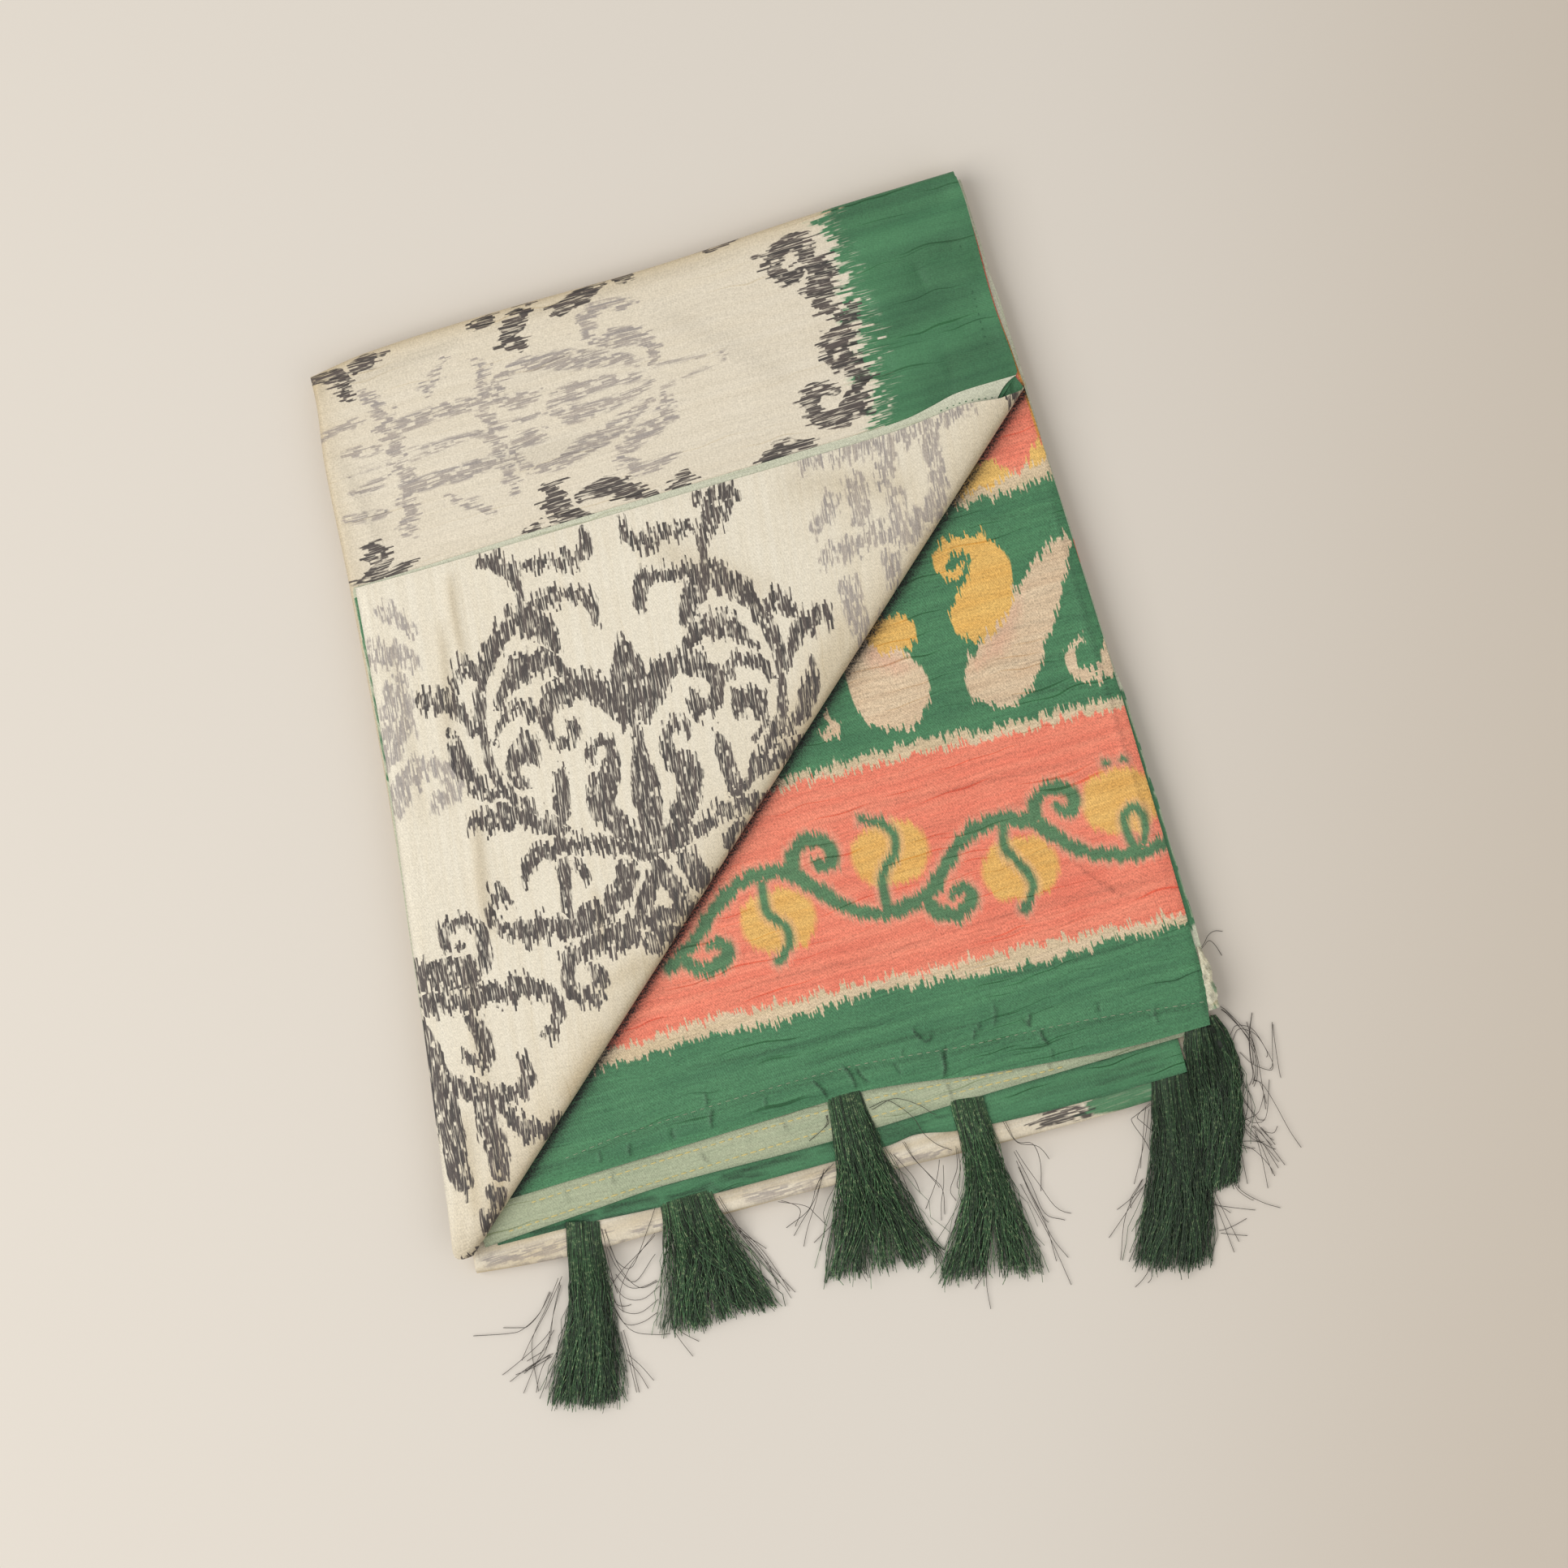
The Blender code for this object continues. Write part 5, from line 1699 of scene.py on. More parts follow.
    def lie(self) -> Sheet:
        """Prints the panel's bands and motifs and shades its hem, its side and what lies under the roll.

        Returns:
            The sheet.
        """
        sheet = Sheet.from_rows(self.rows())
        x, y = sheet.plan
        for name, _, _, line in PANEL_FIELDS:
            sheet.fields[name] = below(line, x, y)
        for name, strokes in PANEL_MOTIFS.items():
            sheet.print_field(name, x, y, strokes, Threads.ALONG_Y)
        sheet.print_field("pink_glow", x, y, PINK_GLOW, Threads.ALONG_Y)
        sheet.fields["pink_glow"] = np.maximum(sheet.fields["pink_glow"], sheet.fields["beige_leaf"] + 3.0)
        right_gap = PANEL_RIGHT(y) - x
        sheet.fields["edge_line"] = np.maximum(np.abs(y - 102.0) - 30.0, PANEL_RIGHT(y) - 0.9 - x)
        # Painted shade and shadow: a band along the hem line, a dark painted shadow beside and under the
        # roll, darker in the puckers and at the right edge; the 'fold' value shades the hem edge and the
        # right edge too.
        hem_line_shade = np.exp(-0.5 * ((y - self.hem_line(x) + 1.6) / 0.9) ** 2)
        roll_shadow = 1.9 * fading(-ROLL.read(x, y)[1] - 1.0, 2.3) * (y < self.shown_to)
        pucker_shade = crease_shade(x, y, self.creases) * 1.5
        seams = np.clip(pucker_shade + 0.3 * hem_line_shade + 0.3 * fading(right_gap, 0.8), 0, 1)
        sheet.fields["crease"] = np.clip(seams + roll_shadow, 0, 1.45)
        sheet.fields["fold"] = np.clip(fading(y - PANEL_HEM(x), 1.0) + fading(right_gap, 1.2), 0, 1) * 0.2
        return sheet

    def cut(self, obj: Object) -> None:
        """Does nothing; the upper layer hides part of the cloth."""


# The creases of the two hem plies
LOWER_HEM_CREASES = creased(
    (-64, -180, -51.5, -184, 1, 0.5), (5, -178, 25, -184, 5, 0.4), (-140, -176.6, -110, -176.9, 1.1, -0.8),
    (-110, -176.9, -84, -178.4, 1.2, -0.9), (-84, -178.4, -62, -178.2, 1.2, -0.8),
    (-62, -178.2, -20, -178.6, 1.1, -0.7), (-112, -178.9, -84, -180.6, 0.7, 0.5),
    (-20, -178.6, 4, -180.2, 1, -0.5), (-60, -176, -40, -180.5, 0.8, 0.5), (20, -179, 60, -181, 0.9, -0.4),
    (60, -180.4, 131, -180, 0.9, -0.5), (92, -184.6, 131, -185.4, 0.8, 0.4),
)
REVERSE_HEM_CREASES = creased(
    (-64, -164, -62, -170, 0.8, 0.35), (38, -165, 39, -174, 0.8, 0.4), (-100, -162, -101, -168, 0.8, 0.3),
    (-30, -161, -28, -167, 0.8, 0.35), (-120, -163, -121, -170, 0.8, 0.25),
    (-45, -162, -45, -168, 0.8, 0.2), (6, -162, 8, -170, 0.8, 0.25), (80, -170, 80, -173, 0.8, 0.35),
)


@dataclass
class HemPly(Ply):
    """A hem ply below the end panel: only its lower edge shows, and the hem over it shades it."""

    hem: Curve
    ends: tuple[float, float]
    top: float
    creases: tuple[Crease, ...]
    length: float
    over: Curve
    lowest_dip: float = 1.12

    def lie(self) -> Sheet:
        """Lays the ply out from its hem to the line that it is tucked in behind.

        Returns:
            The sheet.
        """
        rows = []
        x = spaced(*self.ends, 1.3)
        hem = self.hem(x)
        for share in np.concatenate([np.linspace(0, 0.9, 22), [0.95, 1.0]]):
            y = mixed(hem, HEM_TUCK_Y, share)
            droop = 0.7 * waning(y - hem, 4.0)
            ends = 0.5 * waning(self.ends[1] - x, 2.0)
            z = self.top + bed(x, y) * 0.8 + relief(x, y, self.creases) - droop - ends
            rows.append(flat_row(x, y, np.maximum(z, self.top - self.lowest_dip)))
        sheet = Sheet.from_rows(rows)
        x, y = sheet.plan
        above = y - self.hem(x)
        # Painted shade: the fold just above the hem edge is shaded, the hem of the ply above casts a painted
        # shadow, and the creases are darker.
        sheet.fields["fold"] = fading(above, 1.5) * 0.4
        shadow_under_hem = fading(self.over(x) - y, 0.9)
        sheet.fields["crease"] = np.clip(
            crease_shade(x, y, self.creases) * 1.7 + 0.4 * fading(above, 0.7) + 0.6 * shadow_under_hem, 0, 1)
        return sheet

    def cut(self, obj: Object) -> None:
        """Does nothing; part of the cloth is tucked in."""


@dataclass
class SidePly(Ply):
    """The ply whose edge shows along the right side."""

    def lie(self) -> Sheet:
        """Lays the strip out, a little wavy and tucked in beside the upper layer.

        Returns:
            The sheet.
        """
        rows = []
        beside_hem = REVERSE_HEM_ENDS[1] + 0.8
        for y in spaced(*SIDE_ENDS, 1.6):
            inner = mixed(SIDE_TUCK_X + 0.3, beside_hem, float(ease((-118.0 - y) / 14.0)))
            tucked = 0.75 * float(ease((y + 40.0) / 25.0) * waning(y - 84.0, 12.0))
            right = float(SIDE_RIGHT(y)) - tucked + 0.25 * math.sin(y * 0.21) * math.sin(y * 0.057)
            x = stepped((inner, 1), (right - 4.0, 4.0), (right, 0.8))
            over = 0.9 * waning(right - x, 3.0)
            rows.append(flat_row(x, y, STACK_TOP + bed(x, np.full_like(x, y)) * 0.8 - over))
        sheet = Sheet.from_rows(rows)
        x, y = sheet.plan
        out = SIDE_RIGHT(y) - x
        sheet.fields["orange_part"] = np.maximum(np.abs(y - 98.0) - 4.0, 1.3 - out)
        sheet.fields["green_part"] = y + 34.0
        sheet.fields["pale_rim"] = out - 0.5
        sheet.fields["coral_spot"] = np.abs(y - 24.0) - 5.0
        # Painted shade: darker within 1.5 mm of the outer edge, where the strip turns down.
        sheet.fields["fold"] = np.clip(1 - out / 1.5, 0, 1) * 0.3
        return sheet

    def cut(self, obj: Object) -> None:
        """Does nothing."""


class Level(NamedTuple):
    """One outline of the stack: its height and how far each side is drawn in from the widest."""

    z: float
    left: float
    right: float
    top: float
    bottom: float


@dataclass
class FoldedLayers(Ply):
    """The hidden layers of the fold, whose rounded, layered edges show all round."""

    wall: ClassVar[float] = 0.0

    levels: tuple[Level, ...] = (
        Level(0.0, 2.6, 2.6, 2.6, 2.4), Level(0.8, 1.2, 1.4, 1.2, 0.8), Level(2.2, 0.5, 0.9, 0.5, 0.0),
        Level(3.6, 1.1, 1.4, 1.1, 0.6), Level(4.2, 2.3, 2.4, 2.2, 1.8), Level(4.8, 1.1, 1.2, 1.1, 0.7),
        Level(6.2, 0.6, 0.6, 0.6, 0.6), Level(7.6, 1.3, 1.1, 1.3, 2.2), Level(8.4, 3.0, 2.4, 3.0, 5.0),
    )
    layer: float = 0.56
    groove: float = 0.16
    across: int = 150
    along: int = 70
    ledge_shares: tuple[float, ...] = (0.12, 0.25, 0.45, 0.7)

    def outline(self, z: float, drawn_in: Sequence[float], bottom: Callable[[Array], Array]) -> Array:
        """One level outline, anticlockwise from its lower left corner.

        Args:
            z: Its height.
            drawn_in: How far the left side, the right side and the top fold are drawn in.
            bottom: The lower edge, as y at x.

        Returns:
            Plan x, y and z of the outline.
        """
        left, right, top = drawn_in
        across, up = np.arange(self.across) / self.across, np.arange(self.along) / self.along
        u = np.concatenate([across, np.ones(self.along), 1 - across, np.zeros(self.along)])
        v = np.concatenate([np.zeros(self.across), up, np.ones(self.across), 1 - up])
        x, y = np.zeros_like(u), mixed(-190.0, 182.0, v)
        for _ in range(6):
            x = mixed(STACK_LEFT(y) + left, STACK_RIGHT(y) - right, u)
            y = mixed(bottom(x), TOP_FOLD(x) - top, v)
        return np.column_stack([x, y, np.full(len(x), z)])

    def rings(self) -> list[Array]:
        """All outlines, from the surface below up over the ledge of the lower hem to the flat top.

        Returns:
            The outlines.
        """
        table = np.array(self.levels)
        columns = [Curve(*zip(table[:, 0], table[:, k])) for k in range(1, 5)]
        rings = []
        for z in np.unique(np.concatenate([np.arange(0.0, LEDGE, self.layer / 3), table[:, 0]])):
            *sides, foot = (float(column(z)) for column in columns)
            dent = self.groove * (0.5 + 0.5 * math.cos(2 * math.pi * z / self.layer)) * float(ease(z / 0.8))
            wave = lambda x, foot=foot, dent=dent, z=z: (
                STACK_BOTTOM(x) + foot + dent + 0.25 * np.sin(x * 0.06 + z * 0.9) * ease((z - 0.5) / 3.0))
            rings.append(self.outline(z, [side + dent for side in sides], wave))
        beside = float(STACK_RIGHT(0.0)) - SIDE_TUCK_X + 0.3
        upper = [self.outline(z, (3.0, right, 3.0), lambda x: np.full_like(x, HEM_TUCK_Y + 0.3))
                 for z, right in ((LEDGE, 3.0), (LOWER_HEM_TOP, 3.0), (LOWER_HEM_TOP, beside),
                                  (STACK_TOP - 0.3, beside))]
        ledge = [mixed(rings[-1], upper[0], share) for share in self.ledge_shares]
        return rings + ledge + upper

    def lie(self) -> Sheet:
        """Closes the stack and prints what shows of its ledge.

        Returns:
            The sheet.
        """
        rings = self.rings()
        place = np.vstack(rings)
        x, y, z = place.T
        sheet = Sheet(place, np.column_stack([y - z, x]), closed_tube(rings))
        spread_y = y - np.clip(LEDGE - z, 0, None) * 0.5
        for name, strokes in (("faded", STACK_MARKS), ("dark", STACK_DARK), ("green", STACK_GREEN)):
            sheet.print_field(name, x, spread_y, strokes, Threads.ALONG_X)
        # Painted shade: the sides are shaded more the lower they are, the lower hem casts a painted shadow,
        # and the foot by the surface is darker.
        sheet.fields["fold"] = ease((LEDGE - 0.8 - z) / 4.0)
        shadow_under_hem = fading(LOWER_HEM(x) - y, 1.0) * (z > LEDGE - 2.5) * (y < HEM_TUCK_Y)
        sheet.fields["crease"] = 0.5 * shadow_under_hem + 0.35 * waning(z - 0.4, 1.6)
        return sheet

    def cut(self, obj: Object) -> None:
        """Does nothing."""


@dataclass
class FrayedCorner(Ply):
    """The crumpled, frayed corner of pale selvedge beside the upper hem."""

    wall: ClassVar[float] = 0.3
    ends: Point = (-168.2, -142.5)
    seed: int = 11
    half: Curve = field(default_factory=lambda: Curve((-168.2, 2.1), (-160, 2.8), (-150, 1.9), (-142.5, 0.5)))

    def lie(self) -> Sheet:
        """Crumples the scrap and makes its outer edge ragged.

        Returns:
            The sheet.
        """
        rng = np.random.default_rng(self.seed)
        rows = []
        levels = spaced(*self.ends, 0.5)
        rough = np.convolve(rng.normal(0, 1, len(levels) + 6), np.ones(4) / 4, "valid")
        across = np.linspace(-1, 1, 15)
        for y, stray in zip(levels, rough):
            half = float(self.half(y))
            middle = float(PANEL_RIGHT(y)) + 0.9 + half
            ragged = 1 + 0.28 * stray * (across > 0.5)
            x = middle + half * across * ragged
            pleat = 0.5 * np.sin(across * 7 + y * 0.5) * np.cos(y * 0.9 + across * 2) + 0.35 * np.sin(y * 1.7)
            z = STACK_TOP + 0.5 + 0.85 * (1 - across**2) + 0.45 * pleat * (1 - across**4)
            rows.append(flat_row(x, y, np.maximum(z, STACK_TOP + 0.05)))
        sheet = Sheet.from_rows(rows)
        x, y = sheet.plan
        # The 'fold' value is a random tone here; the 'crease' value darkens wavy patches across the scrap.
        sheet.fields["fold"] = rng.random(len(sheet.place)) * 0.4
        sheet.fields["crease"] = 0.6 * ease(
            (np.sin(x * 1.4 + y * 0.9) + np.sin(y * 0.7 - x * 0.9) - 0.3) / 1.6)
        sheet.fields["green_spots"] = 0.72 - np.sin(y * 0.37 + 1.0) * np.sin(x * 0.9 + y * 0.16)
        return sheet

    def cut(self, obj: Object) -> None:
        """Does nothing."""


def under_height(x: Array, y: Array) -> Array:
    """The height of what lies under plan points: a ply, the stack's rounded edge or the surface below.

    Args:
        x: Plan x of the points.
        y: Plan y of the points.

    Returns:
        The height at each.
    """
    x, y = np.asarray(x, float), np.asarray(y, float)
    inside = np.minimum.reduce([x - STACK_LEFT(y), STACK_RIGHT(y) - x, y - STACK_BOTTOM(x), TOP_FOLD(x) - y])
    round_over, reach, start = 5.0, 10.0, 5.0
    slope = start + (LEDGE - start) * np.sqrt(
        np.clip(1 - (1 - np.clip(inside / round_over, 0, 1)) ** 2, 0, 1))
    height = np.where(inside > 0, slope, start * waning(-inside, reach))
    on_side = (y > SIDE_ENDS[0]) & (x > SIDE_TUCK_X) & (x < SIDE_RIGHT(y))
    height = np.where(on_side, STACK_TOP, height)
    on_lower = (y > LOWER_HEM(x)) & (x > LOWER_HEM_ENDS[0]) & (x < LOWER_HEM_ENDS[1])
    on_reverse = (y > REVERSE_HEM(x)) & (x > REVERSE_HEM_ENDS[0]) & (x < REVERSE_HEM_ENDS[1])
    on_panel = (y > PANEL_HEM(x)) & (x > STACK_LEFT(y)) & (x < PANEL_RIGHT(y))
    for on_ply, top in ((on_lower, LOWER_HEM_TOP), (on_reverse, STACK_TOP), (on_panel, PANEL_TOP)):
        height = np.where(on_ply, np.maximum(height, top), height)
    return height


def resting(x: Array, y: Array) -> Array:
    """The height at which a soft thread rests over plan points, spread a little round each."""
    looks = [(0, 0), (1.5, 0), (-1.5, 0), (0, 1.5), (0, -1.5), (0, 3), (0, -3)]
    return np.max([under_height(x + a, y + b) for a, b in looks], axis=0)


def softened(values: Array, times: int) -> Array:
    """Evens out a run of values.

    Args:
        values: The values.
        times: How often each is mixed with its neighbours.

    Returns:
        The softened values, both ends kept.
    """
    values = values.copy()
    for _ in range(times):
        values[1:-1] = (values[:-2] + 2 * values[1:-1] + values[2:]) / 4
    return values


def thread_bundle(name: str, paths: Sequence[Array], shades: Array, girths: Array, radius: float,
                  finish: Material) -> Object:
    """Makes one object of many thin threads.

    Args:
        name: The object's name.
        paths: Plan points of each thread.
        shades: How light each thread is, 0 to 1.
        girths: How thick each thread is, against the radius.
        radius: The threads' usual radius, in millimetres.
        finish: The threads' material.

    Returns:
        The object, with plain geometry; each thread's section has three sides.
    """
    counts = [len(path) for path in paths]
    starts = np.concatenate([[0], np.cumsum(counts)])
    edges = [(int(a + k), int(a + k + 1)) for a, n in zip(starts, counts) for k in range(n - 1)]
    values = {"shade": np.repeat(shades, counts), "girth": np.repeat(girths, counts)}
    obj = linked(name, shaped(name, np.vstack(paths), edges, [], values))
    ROUND_THREADS.grow(obj, {"Thread radius": radius * MM, "Sides": 3, "Finish": finish})
    return obj


@dataclass
class Tassel(Piece):
    """A tassel of loose twisted threads, narrow at the hem, fanned and uneven at its cut end."""

    root: Point
    root_width: float
    end: Point
    end_width: float
    bow: float
    waist: float
    seed: int
    clumps: int = 17
    count: int = 430
    flyaway: float = 0.1
    crossing: float = 0.16
    gather: float = 0.45
    splits: tuple[Point, ...] = ()
    ceiling: float = FLAP_TOP
    shoulder: float = 0.0
    light: float = 1.0
    steps: int = 12
    radius: float = 0.17

    def spot(self, share: Array, offset: Array) -> tuple[Array, Array]:
        """Finds a place on the tassel.

        Args:
            share: The share of its length.
            offset: How far it is to one side.

        Returns:
            Its plan x and y.
        """
        length = math.dist(self.root, self.end)
        ahead = ((self.end[0] - self.root[0]) / length, (self.end[1] - self.root[1]) / length)
        bowed = offset + self.bow * np.sin(math.pi * np.clip(share, 0, 1))
        x = mixed(self.root[0], self.end[0], share) - ahead[1] * bowed
        y = mixed(self.root[1], self.end[1], share) + ahead[0] * bowed
        return x, y

    def width(self) -> Curve:
        """The tassel's width along its length."""
        shoulder = ((0.1, self.shoulder),) if self.shoulder else ()
        return Curve((0.0, self.root_width), *shoulder, (0.45, self.waist), (1.0, self.end_width))

    def parted(self, stop: float, rng: np.random.Generator) -> float:
        """Moves a thread's end out of the gaps where the tassel splits.

        Args:
            stop: Where the thread ends across the tassel, -1 to 1.
            rng: The tassel's random numbers.

        Returns:
            Where it ends now.
        """
        for centre, half in self.splits:
            if abs(stop - centre) < half:
                stop = centre + math.copysign(half * rng.uniform(1.0, 1.5), stop - centre)
        return stop

    def paths(self) -> tuple[list[Array], Array, Array]:
        """Draws the threads from the hem to their cut ends, in clumps, some loose and some crossing over.

        Returns:
            The threads' paths, their shades and their girths.
        """
        rng = np.random.default_rng(self.seed)
        width = self.width()
        tall = Curve((0.0, 1.7), (0.3, 3.6), (0.7, 4.4), (1.0, 3.2))
        centres = np.linspace(-0.95, 0.95, self.clumps) + rng.normal(0, 0.5 / self.clumps, self.clumps)
        clump_end = rng.normal(0, 0.045, self.clumps)
        length = math.dist(self.root, self.end)
        paths, shades, girths = [], [], []
        for _ in range(self.count):
            start = rng.uniform(-1, 1)
            start *= 0.6 if abs(start) > 0.7 and rng.random() < 0.45 else 1.0
            chosen = int(np.argmin(np.abs(centres - np.clip(start + rng.normal(0, 0.15), -1, 1))))
            drawn_in = centres[chosen] + rng.normal(0, 0.03)
            stop = self.parted(mixed(start + rng.normal(0, 0.1), drawn_in, self.gather), rng)
            end_share = 1.0 + clump_end[chosen] * self.gather + rng.normal(0, 0.024)
            loose = rng.random() < self.flyaway
            wild = math.copysign(rng.uniform(0.5, 3.0) ** 2, stop + rng.normal(0, 0.4)) if loose else 0.0
            end_share -= rng.uniform(0, 0.25) if loose else 0.0
            share = np.linspace(-2.2 / length, end_share, self.steps)
            norm = mixed(start * 0.97, stop, ease(share * 0.9 + 0.05))
            free = ease(share * 2.5)
            turns = share * length * 2 * math.pi
            wave = (rng.normal(0, 1.25) * np.sin(turns / rng.uniform(28, 60) + rng.uniform(0, 6))
                    + rng.normal(0, 0.6) * np.sin(turns / rng.uniform(11, 20)))
            offset = norm * width(share) / 2 + wave * free + wild * np.clip(share, 0, 1) ** 1.7
            height = rng.uniform(0.05, 1.0) ** 0.7
            if rng.random() < self.crossing:
                norm, height = mixed(start * 0.97, rng.uniform(-1, 1), ease(share * 0.9)), 1.0
                offset = norm * width(share) / 2 + wave * free
            x, y = self.spot(share, offset)
            dome = np.sqrt(np.clip(1 - np.clip(np.abs(norm), 0, 0.98) ** 2, 0.05, 1))
            floor = softened(np.minimum(resting(x, y), self.ceiling), 2)
            ripple = rng.uniform(0, 0.5) * np.sin(share * rng.uniform(6, 14) + rng.uniform(0, 6))
            rise = 0.25 + tall(share) * height * dome * (0.4 if loose else 1.0) + ripple * free
            onset = ease(share / 0.09)
            z = floor + rise * onset - (0.95 - 0.4 * height) * (1 - onset)
            paths.append(np.column_stack([x, y, np.maximum(z, 0.3)]))
            # Painted shade: strands that lie lower in the tassel are darker; each tassel's light factor
            # scales all its shades.
            shades.append(rng.random() ** 1.2 * (0.45 + 0.55 * height) * self.light)
            girths.append(rng.uniform(0.75, 1.2) * (0.8 if loose else 1.0))
        return paths, np.array(shades), np.array(girths)

    def core(self) -> list[Array]:
        """Makes the dark heart of the tassel, a slim form inside the threads.

        Returns:
            Its rings, clockwise seen from the last.
        """
        width = self.width()
        tall = Curve((0.0, 0.2), (0.15, 0.9), (0.4, 1.7), (1.0, 0.8))
        rings, sides = [], 10
        for share in np.linspace(0.03, 0.7, 12):
            taper = (0.74 * (1 - float(ease((share - 0.3) / 0.4)) * 0.5)
                     * (0.55 + 0.45 * float(ease(share / 0.4))))
            turn = 2 * math.pi * (np.arange(sides) + 0.5) / sides
            x, y = self.spot(share, width(share) / 2 * taper * np.cos(turn))
            floor = float(np.median(np.minimum(resting(x, y), self.ceiling)))
            lowered = 0.9 * float(waning(share, 0.12))
            rings.append(np.column_stack(
                [x, y, floor + 0.1 - lowered + tall(share) / 2 * (1 + np.sin(turn))]))
        return rings

    def build(self, finish: Material) -> Object:
        """Makes the threads and the heart as one piece and seats it.

        Args:
            finish: The thread's material.

        Returns:
            The seated object.
        """
        obj = thread_bundle(self.name, *self.paths(), self.radius, finish)
        rings = self.core()
        points = np.vstack(rings)
        # The heart's shade is 0, the darkest thread colour: painted shade for the inside of the tassel.
        heart = shaped(self.name + "_heart", points, [], closed_tube(rings, inside_out=True),
                       {"shade": np.zeros(len(points))})
        heart.materials.append(finish)
        inner = linked(heart.name, heart)
        with bpy.context.temp_override(active_object=obj, selected_editable_objects=[obj, inner],
                                       selected_objects=[obj, inner], object=obj):
            bpy.ops.object.join()
        obj.data.name = self.name
        return self.seat(obj)


# Loose single threads that lie beside the tassels, as plan points
LOOSE_THREADS: tuple[tuple[Point, ...], ...] = (
    ((-139, -203), (-146, -210), (-154, -214), (-160, -214), (-174, -211)),
    ((-134, -198), (-142, -208), (-150, -217), (-153, -224), (-155, -240)),
    ((-134, -200), (-140, -211), (-146, -223), (-156, -227)),
    ((-146, -228), (-154, -230), (-162, -231)),
    ((-145, -227), (-155, -229), (-165, -233)),
    ((-142, -218), (-152, -228), (-161, -239)),
    ((-110, -191), (-109, -199), (-104, -202), (-93, -188), (-88, -181)),
    ((-110, -184), (-109, -201), (-104, -211), (-96, -211)),
    ((-114, -204), (-111, -213), (-104, -216), (-96, -213)),
    ((-115, -207), (-114, -217), (-107, -221), (-98, -218)),
    ((-117, -210), (-114, -223), (-107, -225), (-100, -223)),
    ((-91, -191), (-99, -197), (-106, -203), (-112, -211), (-113, -219)),
    ((-115, -226), (-115, -236), (-116, -252)),
    ((-116, -236), (-112, -242), (-109, -249)),
    ((-62, -184), (-60, -192), (-55, -209), (-44, -231)),
    ((-60, -197), (-52, -213), (-50, -228)),
    ((-58, -199), (-51, -213), (-46, -230)),
    ((-95, -230), (-92, -234), (-87, -239)),
    ((-11, -165), (-13, -169), (-21, -173)),
    ((-16, -185), (-23, -191), (-29, -200), (-40, -205)),
    ((-19, -187), (-26, -197), (-33, -204), (-38, -209)),
    ((-40, -193), (-30, -198), (-27, -203), (-24, -209)),
    ((-13, -196), (-16, -201), (-19, -207), (-31, -214)),
    ((-17, -196), (-19, -205), (-24, -215), (-32, -232)),
    ((6, -167), (13, -166), (17, -169), (22, -176), (24, -183), (28, -189), (33, -193)),
    ((15, -184), (17, -191), (22, -201), (25, -208), (23, -218)),
    ((28, -198), (26, -206), (23, -213), (21, -220)),
    ((35, -192), (33, -201), (28, -209), (29, -214)),
    ((10, -188), (15, -199), (16, -207)),
    ((57, -188), (59, -197), (65, -200), (66, -209), (63, -220)),
    ((57, -201), (60, -216), (62, -229), (69, -234)),
    ((57, -208), (59, -223), (62, -239), (66, -249)),
    ((58, -215), (61, -232), (61, -249)),
    ((33, -244), (31, -251), (30, -260)),
    ((54, -222), (52, -234), (55, -250)),
    ((151, -144), (159, -140), (165, -139), (171, -140)),
    ((154, -169), (161, -177), (166, -185), (168, -193), (165, -200), (160, -204)),
    ((154, -170), (164, -181), (167, -188), (165, -195)),
    ((154, -184), (160, -180), (167, -181), (174, -185), (179, -195), (178, -199), (174, -199), (164, -195),
     (157, -189)),
    ((175, -175), (168, -183), (164, -191), (162, -199), (157, -203)),
    ((169, -178), (169, -188), (165, -198), (161, -202)),
    ((188, -181), (184, -188), (179, -197), (176, -199)),
    ((161, -201), (167, -204), (172, -213), (177, -225), (182, -233)),
    ((151, -202), (154, -214), (156, -221), (164, -224), (169, -222)),
    ((151, -209), (152, -217), (162, -217), (173, -203)),
    ((150, -216), (158, -214), (166, -208)),
    ((147, -215), (153, -225), (162, -236)),
    ((153, -219), (159, -228), (166, -238)),
    ((144, -224), (150, -228), (154, -235), (156, -241)),
    ((153, -221), (154, -230), (155, -240)),
    ((143, -222), (146, -226), (151, -228)),
    ((156, -221), (160, -225), (163, -227)),
    ((146, -218), (145, -229), (144, -241)),
    ((138, -235), (141, -243), (148, -250), (154, -254)),
    ((126, -244), (135, -248), (144, -252)),
    ((128, -257), (133, -259), (138, -261)),
    ((116, -198), (108, -201), (106, -203), (109, -212), (110, -217)),
    ((114, -200), (109, -212), (100, -228)),
    ((108, -226), (96, -236), (84, -246)),
    ((104, -227), (93, -239), (86, -256)),
    ((97, -261), (96, -266), (94, -268)),
    ((129, -240), (130, -253), (131, -266)),
    ((123, -243), (123, -257), (121, -265)),
)


